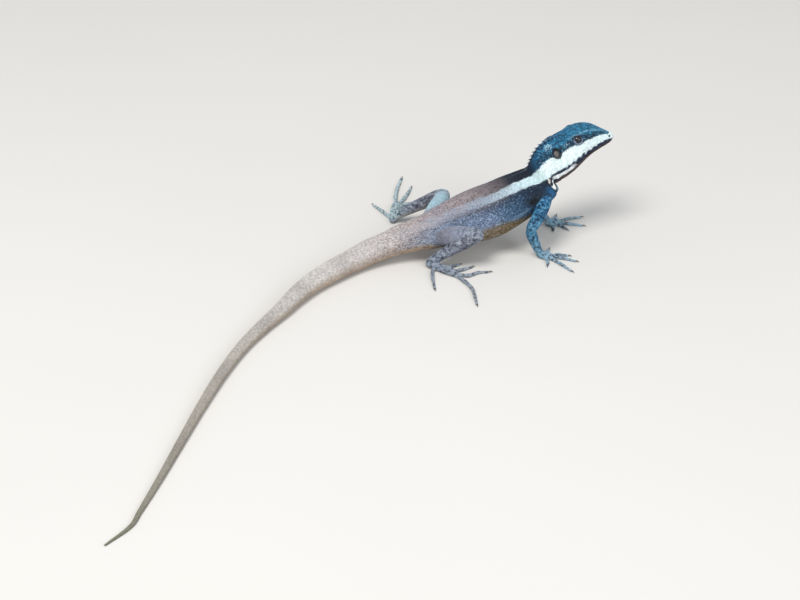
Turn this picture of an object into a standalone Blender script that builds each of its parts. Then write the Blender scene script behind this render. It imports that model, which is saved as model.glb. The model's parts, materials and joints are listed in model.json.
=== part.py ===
"""Northern water dragon at life size, standing still on a level floor.

The body is cut into named solids that meet at narrow gaps. The snout points to plus X, the
animal's left side is plus Y and the floor is the plane Z = 0. Lengths below are millimetres.
"""
import bmesh
import bpy
import numpy as np

MM = 0.001
GAP = 0.3
SMOOTH_ANGLE = 0.7
SOLE_DEPTH = 0.25

# Sections of the head, neck and trunk, each seen from the side as one straight cut.
# Columns: upper end x and z, lower end x and z, half width, y of the middle, squareness.
HEAD_SECTIONS = (
    (73.4, 56.9, 72.8, 54.3, 1.1, 7.5, 2.2),
    (72.5, 58.0, 71.4, 53.2, 2.3, 7.5, 2.2),
    (69.5, 59.5, 68.6, 51.8, 3.7, 7.5, 2.3),
    (66.0, 60.9, 65.0, 50.4, 4.8, 7.5, 2.4),
    (61.5, 62.6, 60.9, 48.2, 6.0, 7.5, 2.5),
    (57.0, 64.0, 57.0, 45.7, 7.3, 7.5, 2.6),
    (52.5, 64.4, 53.6, 43.0, 8.4, 7.5, 2.6),
    (48.0, 63.8, 50.6, 40.6, 9.2, 7.5, 2.5),
    (43.8, 62.6, 48.0, 38.8, 9.7, 7.4, 2.4),
    (39.5, 60.7, 46.0, 37.2, 9.8, 7.2, 2.3),
    (35.2, 58.2, 44.3, 35.9, 9.4, 6.9, 2.2),
)
NECK_SECTIONS = (
    (31.3, 54.9, 43.0, 34.6, 9.0, 6.5, 2.1),
    (28.4, 51.0, 40.9, 33.4, 8.7, 6.0, 2.1),
    (26.5, 47.0, 41.6, 30.2, 9.6, 5.4, 2.1),
)
TRUNK_SECTIONS = (
    (24.9, 43.4, 40.2, 27.0, 10.6, 4.9, 2.1),
    (21.3, 42.2, 33.6, 21.2, 11.8, 4.5, 2.2),
    (16.2, 40.9, 25.2, 17.2, 12.9, 4.2, 2.2),
    (10.1, 38.9, 16.8, 13.3, 13.9, 4.0, 2.3),
    (3.3, 36.6, 8.8, 9.5, 14.5, 4.0, 2.3),
    (-4.3, 34.7, 1.2, 7.6, 14.4, 4.0, 2.3),
    (-11.8, 32.5, -6.8, 6.9, 13.7, 4.0, 2.3),
    (-19.3, 29.9, -15.3, 6.3, 12.5, 4.0, 2.2),
    (-26.3, 27.2, -23.8, 6.0, 11.1, 4.0, 2.1),
    (-33.3, 24.4, -31.8, 5.2, 9.8, 4.1, 2.0),
    (-40.6, 21.7, -39.4, 5.0, 8.5, 4.4, 2.0),
)
HEAD_FIRST = 0
NECK_FIRST = 10
TRUNK_FIRST = 14
BODY_SIDES = 24
HEAD_RINGS = 22
NECK_RINGS = 9
TRUNK_RINGS = 20

# Middle line of the tail and its radius, from the vent to the tip.
TAIL_PATH = (
    (-36.0, 4.2, 14.4, 8.9),
    (-40.6, 4.5, 13.2, 8.4),
    (-47.2, 5.0, 11.6, 7.8),
    (-53.2, 5.0, 9.9, 7.1),
    (-64.2, 3.9, 7.7, 6.7),
    (-76.5, -0.1, 5.85, 6.1),
    (-89.1, -6.2, 5.45, 5.7),
    (-101.9, -13.8, 4.85, 5.1),
    (-112.8, -22.8, 4.25, 4.5),
    (-122.4, -32.2, 3.65, 3.9),
    (-135.6, -44.2, 3.0, 3.25),
    (-149.0, -58.4, 2.6, 2.85),
    (-163.2, -77.7, 2.3, 2.55),
    (-177.5, -100.1, 1.95, 2.2),
    (-191.6, -123.7, 1.6, 1.85),
    (-205.0, -146.2, 1.25, 1.5),
    (-217.6, -166.4, 0.85, 1.1),
    (-223.5, -175.3, 0.65, 0.85),
    (-236.0, -184.1, 0.3, 0.4),
)
TAIL_CUTS = (1.0, 5.0, 8.0, 11.0, 13.0, 15.0, 18.0)
TAIL_SIDES = (20, 18, 16, 14, 12, 10)
TAIL_RINGS = (12, 10, 9, 8, 8, 9)

# Head features, given in the side view.
MOUTH_LINE = (
    (82.0, 57.0), (73.2, 55.4), (69.5, 54.7), (65.4, 53.7), (60.0, 51.9), (53.4, 49.4),
    (47.5, 47.2), (42.0, 44.6), (36.0, 41.2), (28.0, 36.0),
)
EYE_PLACE = (50.8, 60.9)
EYE_RADIUS = 2.6
EYE_SINK = 1.5
LID_RADIUS = 2.75
LID_THICK = 0.62
LID_STEPS = 18
LID_SIDES = 5
EAR_PLACE = (39.6, 54.2)
EAR_RADIUS = 1.9
EAR_DEPTH = 0.7
NOSTRIL_PLACE = (70.9, 57.0)
NOSTRIL_RADIUS = 0.42
BROW_PATH = (
    (69.0, 58.9, 0.5), (64.5, 60.6, 0.9), (60.0, 62.0, 1.2), (55.5, 63.2, 1.6), (51.0, 63.5, 1.7),
    (47.0, 62.6, 1.3), (43.5, 61.0, 0.7),
)
BROW_SINK = 0.38
UPPER_LIP_RISE = 0.75
LOWER_LIP_DROP = 1.05
LIP_THICK = 0.62
LIP_FRONT = 71.2
LIP_BACK = 49.5

# Crest: spines on the nape and a lower row behind it.
NAPE_SPINES = 13
NAPE_START = 8.2
NAPE_END = 13.9
BACK_SPINES = 9
BACK_START = 14.25
BACK_END = 18.0
SPINE_LENGTH = 2.6
BACK_SPINE_LENGTH = 1.0
SPINE_SIDES = 4
SPINE_ROOT = 0.8
SPINE_SINK = 0.9
SPINE_LEAN = 0.45

# Legs: middle lines and radii, root first.
RIGHT_UPPER_ARM = (
    (31.5, 1.0, 31.0, 4.8), (31.0, -3.6, 29.8, 4.7), (28.2, -8.6, 25.6, 3.7),
    (23.4, -12.4, 20.4, 3.1), (21.2, -13.5, 18.0, 2.9),
)
RIGHT_FOREARM = (
    (20.8, -13.7, 17.2, 2.5), (21.4, -13.8, 14.6, 2.9), (23.7, -14.3, 8.4, 2.5), (26.1, -15.1, 2.9, 1.9),
)
LEFT_UPPER_ARM = (
    (31.5, 8.5, 30.5, 4.7), (31.5, 13.0, 28.5, 4.3), (31.5, 15.6, 23.0, 3.4), (31.8, 16.6, 17.5, 2.9),
)
LEFT_FOREARM = (
    (31.9, 16.8, 16.6, 2.5), (33.2, 16.8, 13.6, 2.8), (37.4, 15.6, 8.0, 2.4), (41.2, 14.4, 2.9, 1.9),
)
RIGHT_THIGH = (
    (-29.5, 1.5, 15.5, 6.2), (-25.5, -4.0, 16.5, 5.8), (-17.5, -10.2, 18.8, 4.8), (-10.8, -14.0, 20.0, 3.8),
)
RIGHT_SHANK = (
    (-9.6, -14.9, 20.0, 3.3), (-14.5, -14.0, 17.4, 3.8), (-24.0, -11.0, 10.6, 3.1), (-33.4, -8.0, 3.6, 2.3),
)
LEFT_THIGH = (
    (-29.5, 6.5, 15.5, 6.2), (-26.5, 12.5, 17.0, 5.8), (-21.0, 20.5, 19.5, 4.8), (-15.8, 27.6, 21.0, 3.8),
)
LEFT_SHANK = (
    (-15.2, 29.0, 21.2, 3.3), (-19.5, 31.2, 18.4, 3.7), (-29.5, 37.0, 11.0, 3.0), (-39.8, 42.2, 3.6, 2.3),
)

# Hands and feet: each starts with the palm, then one row per toe from the inner to the outer toe.
RIGHT_PALM = ((26.3, -15.3, 1.9, 2.1), (29.2, -17.2, 1.7, 2.5), (31.6, -18.8, 1.4, 2.0))
RIGHT_FINGERS = (
    ((28.6, -15.6), (31.6, -12.6), (33.4, -9.9)),
    ((30.6, -17.0), (36.2, -16.6), (41.0, -18.6)),
    ((31.6, -18.4), (37.6, -21.0), (43.0, -24.8)),
    ((31.2, -19.2), (34.6, -26.2), (37.6, -33.2)),
    ((28.6, -18.6), (28.4, -21.8), (27.4, -24.2)),
)
LEFT_PALM = ((41.6, 14.2, 1.9, 2.1), (44.6, 14.6, 1.7, 2.5), (47.2, 14.8, 1.4, 2.0))
LEFT_FINGERS = (
    ((43.4, 13.2), (43.6, 11.0), (42.6, 8.6)),
    ((46.0, 13.6), (48.4, 10.6), (49.8, 7.6)),
    ((47.4, 14.2), (53.6, 11.6), (59.6, 8.6)),
    ((47.4, 15.4), (54.4, 17.0), (61.6, 17.2)),
    ((45.2, 16.4), (47.2, 19.6), (49.2, 22.4)),
)
RIGHT_SOLE = ((-34.4, -7.6, 2.1, 2.3), (-29.4, -13.6, 1.9, 2.4), (-24.0, -19.8, 1.6, 2.3))
RIGHT_TOES = (
    ((-27.8, -13.6), (-22.6, -12.2), (-18.8, -11.2)),
    ((-25.2, -17.2), (-18.6, -16.8), (-12.8, -15.2)),
    ((-23.4, -19.8), (-17.5, -23.3), (-11.4, -21.8), (-5.4, -22.2)),
    ((-23.6, -20.8), (-20.6, -28.6), (-19.1, -35.8), (-20.0, -43.4), (-21.0, -49.8)),
    ((-33.0, -10.4), (-35.8, -18.2), (-37.9, -29.6)),
)
LEFT_SOLE = ((-40.9, 41.6, 2.1, 2.3), (-37.8, 49.4, 1.9, 2.4), (-34.4, 57.4, 1.6, 2.3))
LEFT_TOES = (
    ((-36.4, 49.0), (-31.4, 50.4), (-27.6, 51.4)),
    ((-35.2, 54.2), (-29.2, 57.0), (-23.6, 58.6)),
    ((-34.2, 57.2), (-28.6, 62.6), (-24.4, 68.4), (-20.6, 74.6)),
    ((-34.6, 58.2), (-32.2, 66.4), (-29.0, 74.6), (-25.6, 81.2), (-22.8, 86.4)),
    ((-40.8, 44.6), (-43.8, 53.6), (-46.4, 61.6)),
)
LEG_SIDES = 13
LEG_RINGS = 10
FINGER_RADII = (1.15, 0.7)
TOE_RADII = (1.3, 0.72)
TOE_SIDES = 7
CLAW_SIDES = 5
CLAW_RINGS = 5
CLAW_LENGTH = 2.4
CLAW_ROOT = 0.55
CLAW_TIP = 0.16
CLAW_ARCH = 0.5

COLOURS = {
    "head": (0.05, 0.22, 0.33), "lower_jaw": (0.05, 0.10, 0.16), "eye": (0.01, 0.01, 0.012),
    "neck": (0.05, 0.18, 0.27), "torso": (0.20, 0.20, 0.22), "tail": (0.42, 0.36, 0.35),
    "arm": (0.08, 0.30, 0.42), "leg": (0.28, 0.34, 0.38),
}

part_collection = None
cutter_collection = None


def clear_scene():
    for item in list(bpy.data.objects):
        bpy.data.objects.remove(item, do_unlink=True)


def new_collections():
    global part_collection, cutter_collection
    part_collection = bpy.data.collections.new("northern_water_dragon")
    cutter_collection = bpy.data.collections.new("cutters")
    bpy.context.scene.collection.children.link(part_collection)
    bpy.context.scene.collection.children.link(cutter_collection)


def material(name, colour):
    made = bpy.data.materials.new(name)
    made.use_nodes = True
    shader = made.node_tree.nodes["Principled BSDF"]
    shader.inputs["Base Color"].default_value = (*colour, 1.0)
    shader.inputs["Roughness"].default_value = 0.55
    return made


def hermite(knots, rows, places):
    """Smooth curve through rows at the knots: cubic pieces with slopes from the neighbours."""
    slopes = np.gradient(rows, knots, axis=0)
    places = np.clip(np.asarray(places, float), knots[0], knots[-1])
    low = np.clip(np.searchsorted(knots, places, side="right") - 1, 0, len(knots) - 2)
    width = (knots[low + 1] - knots[low])
    t = ((places - knots[low]) / width)[:, None]
    width = width[:, None]
    value = (2 * t**3 - 3 * t**2 + 1) * rows[low] + (t**3 - 2 * t**2 + t) * width * slopes[low]
    return value + (3 * t**2 - 2 * t**3) * rows[low + 1] + (t**3 - t**2) * width * slopes[low + 1]


SECTIONS = np.array(HEAD_SECTIONS + NECK_SECTIONS + TRUNK_SECTIONS)
SECTION_KNOTS = np.arange(len(SECTIONS), dtype=float)


def section_rings(places, sides, grow=0.0):
    """Rings of points of the head, neck and trunk: each ring is a rounded square in its cut."""
    row = hermite(SECTION_KNOTS, SECTIONS, places)
    upper = np.stack([row[:, 0], row[:, 5], row[:, 1]], axis=1)
    lower = np.stack([row[:, 2], row[:, 5], row[:, 3]], axis=1)
    middle = (upper + lower) / 2
    rise = (upper - lower) / 2
    tall = np.linalg.norm(rise, axis=1, keepdims=True)
    rise = rise / tall * (tall + grow)
    angle = 2 * np.pi * np.arange(sides) / sides
    power = 2.0 / row[:, 6:7]
    across = np.sign(np.cos(angle)) * np.abs(np.cos(angle)) ** power
    upward = np.sign(np.sin(angle)) * np.abs(np.sin(angle)) ** power
    rings = middle[:, None, :] + rise[:, None, :] * upward[:, :, None]
    rings[:, :, 1] += (row[:, 4:5] + grow) * across
    return rings


def skin_point(x, z, side, proud=0.0):
    """Point of the head's side at x, z of the side view; side is -1 for right and 1 for left."""
    places = np.linspace(0.0, 13.0, 1301)
    row = hermite(SECTION_KNOTS, SECTIONS, places)
    run = np.stack([row[:, 0] - row[:, 2], row[:, 1] - row[:, 3]], axis=1)
    off = np.stack([x - row[:, 2], z - row[:, 3]], axis=1)
    cross = np.abs(run[:, 0] * off[:, 1] - run[:, 1] * off[:, 0]) / np.linalg.norm(run, axis=1)
    best = int(np.argmin(cross))
    share = np.dot(off[best], run[best]) / np.dot(run[best], run[best])
    height = min(abs(2 * share - 1), 0.995)
    power = row[best, 6]
    width = row[best, 4] * (1 - height**power) ** (1 / power)
    return np.array([x, row[best, 5] + side * (width + proud), z])


def skin_normal(x, z, side):
    step = 0.4
    along = skin_point(x + step, z, side) - skin_point(x - step, z, side)
    upward = skin_point(x, z + step, side) - skin_point(x, z - step, side)
    normal = np.cross(along, upward)
    normal /= np.linalg.norm(normal)
    return normal * (1 if normal[1] * side > 0 else -1)


def mesh_object(name, points, faces, collection):
    mesh = bpy.data.meshes.new(name)
    mesh.from_pydata([tuple(p * MM) for p in points], [], faces)
    work = bmesh.new()
    work.from_mesh(mesh)
    bmesh.ops.triangulate(work, faces=[face for face in work.faces if len(face.verts) > 4])
    bmesh.ops.recalc_face_normals(work, faces=work.faces)
    work.to_mesh(mesh)
    work.free()
    item = bpy.data.objects.new(name, mesh)
    collection.objects.link(item)
    if collection is cutter_collection:
        item.hide_render = True
        item.display_type = "WIRE"
    return item


def ring_solid(name, rings, collection):
    """Closed solid through rings of points, with a flat end at each side."""
    count, sides = rings.shape[:2]
    first, last = rings[0].mean(axis=0), rings[-1].mean(axis=0)
    points = np.concatenate([rings.reshape(-1, 3), [first, last]])
    faces = []
    for ring in range(count - 1):
        for side in range(sides):
            step = (side + 1) % sides
            faces.append((ring * sides + side, ring * sides + step,
                          (ring + 1) * sides + step, (ring + 1) * sides + side))
    for side in range(sides):
        step = (side + 1) % sides
        faces.append((count * sides, step, side))
        faces.append((count * sides + 1, (count - 1) * sides + side, (count - 1) * sides + step))
    return mesh_object(name, points, faces, collection)


def tube(name, path, sides, rings, collection, grow=0.0, round_ends=True, flat=1.0, span=None):
    """Solid along a smooth path of x, y, z, radius; flat presses it in height."""
    rows = np.array(path, dtype=float)
    knots = np.arange(len(rows), dtype=float)
    start, end = span if span else (0.0, knots[-1])
    places = np.linspace(start, end, rings)
    row = hermite(knots, rows, places)
    middle = row[:, :3]
    radius = row[:, 3] + grow
    step = 0.02
    ahead = (hermite(knots, rows, places + step) - hermite(knots, rows, places - step))[:, :3]
    ahead /= np.linalg.norm(ahead, axis=1, keepdims=True)
    if round_ends:
        turns = (0.6, 1.15)
        head = [(middle[0] - ahead[0] * radius[0] * np.sin(a), radius[0] * np.cos(a)) for a in turns][::-1]
        tail = [(middle[-1] + ahead[-1] * radius[-1] * np.sin(a), radius[-1] * np.cos(a)) for a in turns]
        middle = np.concatenate([[m for m, _ in head], middle, [m for m, _ in tail]])
        radius = np.concatenate([[r for _, r in head], radius, [r for _, r in tail]])
        ahead = np.concatenate([[ahead[0]] * 2, ahead, [ahead[-1]] * 2])
    elif grow:
        middle[0] -= ahead[0] * grow
        middle[-1] += ahead[-1] * grow
    normal = np.cross(ahead[0], (0.0, 0.0, 1.0))
    if np.linalg.norm(normal) < 0.2:
        normal = np.cross(ahead[0], (0.0, 1.0, 0.0))
    circles = []
    angle = 2 * np.pi * np.arange(sides) / sides
    for place in range(len(middle)):
        normal = normal - ahead[place] * np.dot(normal, ahead[place])
        normal /= np.linalg.norm(normal)
        other = np.cross(normal, ahead[place])
        circle = np.cos(angle)[:, None] * normal + np.sin(angle)[:, None] * other * flat
        circles.append(middle[place] + radius[place] * circle)
    return ring_solid(name, np.array(circles), collection)


def ball(name, centre, radius, collection, columns=20, rows=12):
    lift = np.linspace(-np.pi / 2, np.pi / 2, rows + 1)[1:-1]
    turn = 2 * np.pi * np.arange(columns) / columns
    rings = np.array([[(np.cos(a) * np.cos(t), np.cos(a) * np.sin(t), np.sin(a)) for t in turn] for a in lift])
    made = ring_solid(name, np.array(centre) + radius * rings, collection)
    for vertex in made.data.vertices[-2:]:
        sign = -1 if vertex.index == len(made.data.vertices) - 2 else 1
        vertex.co.z = (centre[2] + sign * radius) * MM
    return made


def box(name, low, high, collection):
    x0, y0, z0 = low
    x1, y1, z1 = high
    rings = np.array([[(x0, y0, z0), (x1, y0, z0), (x1, y1, z0), (x0, y1, z0)],
                      [(x0, y0, z1), (x1, y0, z1), (x1, y1, z1), (x0, y1, z1)]], dtype=float)
    return ring_solid(name, rings, collection)


def bake_modifiers(item):
    graph = bpy.context.evaluated_depsgraph_get()
    mesh = bpy.data.meshes.new_from_object(item.evaluated_get(graph))
    item.modifiers.clear()
    item.data = mesh


def keep_largest(item):
    """Drops the small closed pieces that a cut can leave beside the solid."""
    work = bmesh.new()
    work.from_mesh(item.data)
    bmesh.ops.remove_doubles(work, verts=work.verts, dist=0.000002)
    work.verts.index_update()
    left = set(work.verts)
    groups = []
    while left:
        stack = [left.pop()]
        group = list(stack)
        while stack:
            for edge in stack.pop().link_edges:
                for vertex in edge.verts:
                    if vertex in left:
                        left.remove(vertex)
                        group.append(vertex)
                        stack.append(vertex)
        groups.append(group)
    groups.sort(key=len, reverse=True)
    for group in groups[1:]:
        bmesh.ops.delete(work, geom=group, context="VERTS")
    bmesh.ops.triangulate(work, faces=[face for face in work.faces if len(face.verts) > 4])
    work.to_mesh(item.data)
    work.free()


def boolean(item, operation, operand, solver="EXACT"):
    change = item.modifiers.new(operation.lower(), "BOOLEAN")
    change.operation = operation
    change.solver = solver
    if isinstance(operand, bpy.types.Collection):
        change.operand_type = "COLLECTION"
        change.collection = operand
    else:
        change.object = operand
    bake_modifiers(item)
    keep_largest(item)


def fuse(item, pieces):
    """Joins all pieces to the item in one Boolean."""
    group = bpy.data.collections.new(item.name + "_pieces")
    cutter_collection.children.link(group)
    for piece in pieces:
        group.objects.link(piece)
    boolean(item, "UNION", group)
    for piece in pieces:
        bpy.data.objects.remove(piece, do_unlink=True)
    bpy.data.collections.remove(group)


def cut(item, cutter):
    boolean(item, "DIFFERENCE", cutter)


def finish(item, kind):
    item.data.materials.clear()
    item.data.materials.append(material(item.name + "_skin", COLOURS[kind]))
    for polygon in item.data.polygons:
        polygon.use_smooth = True
    item.data.set_sharp_from_angle(angle=SMOOTH_ANGLE)


def spine(name, place, length, leaning=SPINE_LEAN):
    """One crest spine: a cone that leans back, its root sunk into the skin."""
    row = hermite(SECTION_KNOTS, SECTIONS, [place])[0]
    near = hermite(SECTION_KNOTS, SECTIONS, [place + 0.05])[0]
    foot = np.array([row[0], row[5], row[1]])
    up = np.array([row[0] - row[2], 0.0, row[1] - row[3]])
    up /= np.linalg.norm(up)
    back = np.array([near[0] - row[0], 0.0, near[1] - row[1]])
    back /= np.linalg.norm(back)
    point = up + back * leaning
    point /= np.linalg.norm(point)
    angle = 2 * np.pi * np.arange(SPINE_SIDES) / SPINE_SIDES
    circle = np.cos(angle)[:, None] * back * SPINE_ROOT + np.sin(angle)[:, None] * np.array([0, 0.6, 0])
    tip = np.repeat([foot + point * length], SPINE_SIDES, axis=0) + circle * 0.12
    rings = np.array([foot - point * SPINE_SINK + circle, foot + point * 0.2 + circle * 0.85, tip])
    return ring_solid(name, rings, cutter_collection)


def crest(start, end, count, longest):
    pieces = []
    for index, place in enumerate(np.linspace(start, end, count)):
        swell = 0.62 + 0.38 * np.sin(np.pi * (index + 0.5) / count)
        pieces.append((place, spine("spine", place, longest * swell)))
    return pieces


def mouth_cutter(name, drop):
    """Everything below the line of the mouth, lowered by the drop, as a wide closed block."""
    line = np.array(MOUTH_LINE)
    outline = np.concatenate([line - (0, drop), [(28.0, 20.0), (82.0, 20.0)]])
    rings = np.array([[(x, y, z) for x, z in outline] for y in (-15.0, 30.0)])
    sides = len(outline)
    points = rings.reshape(-1, 3)
    faces = [tuple(range(sides)), tuple(range(2 * sides - 1, sides - 1, -1))]
    for side in range(sides):
        step = (side + 1) % sides
        faces.append((side, step, sides + step, sides + side))
    return mesh_object(name, points, faces, cutter_collection)


def lip(name, side, shift):
    """Raised rim that follows the line of the mouth at one side of the head."""
    line = np.array(MOUTH_LINE)
    order = np.argsort(line[:, 0])
    path = []
    for x in np.linspace(LIP_FRONT, LIP_BACK, 8):
        z = np.interp(x, line[order, 0], line[order, 1]) + shift
        path.append((*skin_point(x, z, side, -0.32), LIP_THICK))
    return tube(name, path, 5, 11, cutter_collection)


def eye_centre(side):
    place = skin_point(*EYE_PLACE, side)
    return place - skin_normal(*EYE_PLACE, side) * EYE_SINK


def lid_ring(side):
    """Ring of skin round the eye."""
    normal = skin_normal(*EYE_PLACE, side)
    centre = eye_centre(side) + normal * 1.35
    first = np.cross(normal, (0.0, 0.0, 1.0))
    first /= np.linalg.norm(first)
    other = np.cross(normal, first)
    around = 2 * np.pi * np.arange(LID_STEPS) / LID_STEPS
    about = 2 * np.pi * np.arange(LID_SIDES) / LID_SIDES
    points = []
    for a in around:
        out = np.cos(a) * first + np.sin(a) * other * 0.86
        for b in about:
            points.append(centre + out * LID_RADIUS + LID_THICK * (np.cos(b) * out + np.sin(b) * normal))
    faces = []
    for i in range(LID_STEPS):
        for j in range(LID_SIDES):
            a = i * LID_SIDES
            b = (i + 1) % LID_STEPS * LID_SIDES
            k = (j + 1) % LID_SIDES
            faces.append((a + j, b + j, b + k, a + k))
    return mesh_object("lid_ring", np.array(points), faces, cutter_collection)


def drill(name, x, z, side, radius, depth, sides=14):
    """Short round cutter that enters the head's side to the depth."""
    place = skin_point(x, z, side)
    normal = skin_normal(x, z, side)
    path = (tuple(place - normal * depth) + (radius,), tuple(place + normal * 3.0) + (radius,))
    return tube(name, path, sides, 2, cutter_collection, round_ends=False)


def build_head():
    places = np.linspace(0.0, NECK_FIRST - 0.06, HEAD_RINGS)
    head = ring_solid("head", section_rings(places, BODY_SIDES), part_collection)
    jaw = ring_solid("lower_jaw", section_rings(places, BODY_SIDES), part_collection)
    pieces = []
    for side in (-1, 1):
        pieces.append(lid_ring(side))
        pieces.append(lip("upper_lip", side, UPPER_LIP_RISE))
        brow = []
        for x, z, radius in BROW_PATH:
            place = skin_point(x, z, side) - skin_normal(x, z, side) * radius * BROW_SINK
            brow.append((*place, radius))
        pieces.append(tube("brow", brow, 8, 14, cutter_collection))
    pieces += [piece for place, piece in crest(NAPE_START, NAPE_END, NAPE_SPINES, SPINE_LENGTH)
               if place < NECK_FIRST - 0.28]
    fuse(head, pieces)
    fuse(jaw, [lip("lower_lip", side, -LOWER_LIP_DROP) for side in (-1, 1)])
    cut(head, mouth_cutter("below_mouth", 0.0))
    boolean(jaw, "INTERSECT", mouth_cutter("below_gap", GAP))
    for side, word in ((-1, "right"), (1, "left")):
        centre = eye_centre(side)
        cut(head, ball("socket_" + word, centre, EYE_RADIUS + GAP, cutter_collection, 14, 8))
        cut(head, drill("ear_cut_" + word, *EAR_PLACE, side, EAR_RADIUS, EAR_DEPTH))
        cut(head, drill("nostril_cut_" + word, *NOSTRIL_PLACE, side, NOSTRIL_RADIUS, 0.7, 8))
        eye = ball("eye_" + word, centre, EYE_RADIUS, part_collection, 14, 8)
        finish(eye, "eye")
    finish(head, "head")
    finish(jaw, "lower_jaw")


def build_neck():
    places = np.linspace(NECK_FIRST + 0.0, TRUNK_FIRST - 0.06, NECK_RINGS)
    neck = ring_solid("neck", section_rings(places, BODY_SIDES), part_collection)
    pieces = [piece for place, piece in crest(NAPE_START, NAPE_END, NAPE_SPINES, SPINE_LENGTH)
              if NECK_FIRST + 0.24 < place < TRUNK_FIRST - 0.35]
    fuse(neck, pieces)
    finish(neck, "neck")


def build_torso():
    last = len(SECTIONS) - 1
    places = np.linspace(TRUNK_FIRST, last, TRUNK_RINGS)
    torso = ring_solid("torso", section_rings(places, BODY_SIDES), part_collection)
    grown = section_rings(np.linspace(TRUNK_FIRST - 0.06, last, TRUNK_RINGS), BODY_SIDES, GAP)
    behind = grown[-1] - (GAP, 0.0, 0.0)
    cutter = ring_solid("torso_grown", np.concatenate([grown, [behind]]), cutter_collection)
    fuse(torso, [piece for _, piece in crest(BACK_START, BACK_END, BACK_SPINES, BACK_SPINE_LENGTH)])
    finish(torso, "torso")
    return cutter


def build_tail(torso_cutter, floor):
    for index in range(len(TAIL_CUTS) - 1):
        name = "tail_%d" % (index + 1)
        start, end = TAIL_CUTS[index], TAIL_CUTS[index + 1]
        if index == 0:
            start = 0.6
        else:
            start += 0.03
        sides, rings = TAIL_SIDES[index], TAIL_RINGS[index]
        item = tube(name, TAIL_PATH, sides, rings, part_collection, round_ends=False, span=(start, end))
        if index == 0:
            cut(item, torso_cutter)
        cut(item, floor)
        finish(item, "tail")


def leg(names, paths, roots, kind):
    """Builds the upper and the lower part of one leg, each cut clear of what it meets."""
    upper = tube(names[0], paths[0], LEG_SIDES, LEG_RINGS, part_collection)
    for root in roots:
        cut(upper, root)
    upper_cutter = tube(names[0] + "_grown", paths[0], LEG_SIDES, LEG_RINGS, cutter_collection, GAP)
    lower = tube(names[1], paths[1], LEG_SIDES, LEG_RINGS, part_collection)
    cut(lower, upper_cutter)
    for root in roots:
        cut(lower, root)
    lower_cutter = tube(names[1] + "_grown", paths[1], LEG_SIDES, LEG_RINGS, cutter_collection, GAP)
    finish(upper, kind)
    finish(lower, kind)
    return lower_cutter


def claw(name, tip, direction, reach):
    """Curved claw: rises a little from the toe's end and comes down to its point."""
    side = np.array([direction[0], direction[1], 0.0])
    side /= np.linalg.norm(side)
    path = []
    for share in np.linspace(-0.35, 1.0, 5):
        place = tip + side * reach * share
        height = 0.75 + CLAW_ARCH * (1 - (2 * share - 0.6) ** 2) - 0.45 * max(share, 0)
        radius = CLAW_ROOT + (CLAW_TIP - CLAW_ROOT) * max(share, 0.0)
        path.append((place[0], place[1], max(height, radius - 0.1), radius))
    return tube(name, path, CLAW_SIDES, CLAW_RINGS, cutter_collection, round_ends=False)


def extremity(name, palm, toes, radii, cutter, floor, kind):
    """Palm with five toes and their claws, with a flat underside on the floor."""
    base = tube(name, palm, 12, 7, part_collection, flat=0.9)
    pieces = []
    for toe in toes:
        points = np.array(toe)
        share = np.linspace(0, 1, len(points))
        radius = radii[0] + (radii[1] - radii[0]) * share
        rise = radius - SOLE_DEPTH + 0.35 * np.sin(np.pi * share)
        path = [(*points[k], rise[k], radius[k]) for k in range(len(points))]
        pieces.append(tube(name + "_toe", path, TOE_SIDES, len(points) + 4, cutter_collection))
        heading = points[-1] - points[-2]
        pieces.append(claw(name + "_claw", np.array([*points[-1], 0.0]), heading, CLAW_LENGTH))
    fuse(base, pieces)
    cut(base, cutter)
    cut(base, floor)
    finish(base, kind)
    return base


def seat_at_origin():
    """Moves the whole animal so that the middle of its box's underside is the origin."""
    corners = np.array([np.array(vertex.co) for item in part_collection.objects for vertex in item.data.vertices])
    low, high = corners.min(axis=0), corners.max(axis=0)
    shift = np.array([-(low[0] + high[0]) / 2, -(low[1] + high[1]) / 2, -low[2]])
    for item in list(part_collection.objects) + list(cutter_collection.objects):
        for vertex in item.data.vertices:
            vertex.co = np.array(vertex.co) + shift
    print("shift in mm", np.round(shift / MM, 4), "size in mm", np.round((high - low) / MM, 2))


def main():
    clear_scene()
    new_collections()
    floor = box("floor_cut", (-300.0, -260.0, -30.0), (140.0, 160.0, 0.0), cutter_collection)
    build_head()
    build_neck()
    torso_cutter = build_torso()
    build_tail(torso_cutter, floor)
    roots = (torso_cutter,)
    arms = (
        ("right", RIGHT_UPPER_ARM, RIGHT_FOREARM, RIGHT_PALM, RIGHT_FINGERS),
        ("left", LEFT_UPPER_ARM, LEFT_FOREARM, LEFT_PALM, LEFT_FINGERS),
    )
    for word, upper, lower, palm, fingers in arms:
        cutter = leg(("upper_arm_" + word, "forearm_" + word), (upper, lower), roots, "arm")
        extremity("hand_" + word, palm, fingers, FINGER_RADII, cutter, floor, "arm")
    legs = (
        ("right", RIGHT_THIGH, RIGHT_SHANK, RIGHT_SOLE, RIGHT_TOES),
        ("left", LEFT_THIGH, LEFT_SHANK, LEFT_SOLE, LEFT_TOES),
    )
    for word, upper, lower, sole, toes in legs:
        cutter = leg(("thigh_" + word, "shank_" + word), (upper, lower), roots, "leg")
        extremity("foot_" + word, sole, toes, TOE_RADII, cutter, floor, "leg")
    seat_at_origin()
    total = 0
    for item in part_collection.objects:
        item.data.calc_loop_triangles()
        total += len(item.data.loop_triangles)
        print(item.name, len(item.data.loop_triangles))
    print("triangles", total)


main()
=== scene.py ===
# %% [markdown]
# # A northern water dragon, scale by scale
# This lesson dresses a plain solid model of a lizard. The solids give the pose and the size; here the
# animal gets one seamless skin, thousands of overlapping scales, eyes, claws, a crest and its colours.
# Every shape is a surface worked out with numpy, and every colour is worked out by shader nodes.

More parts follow.
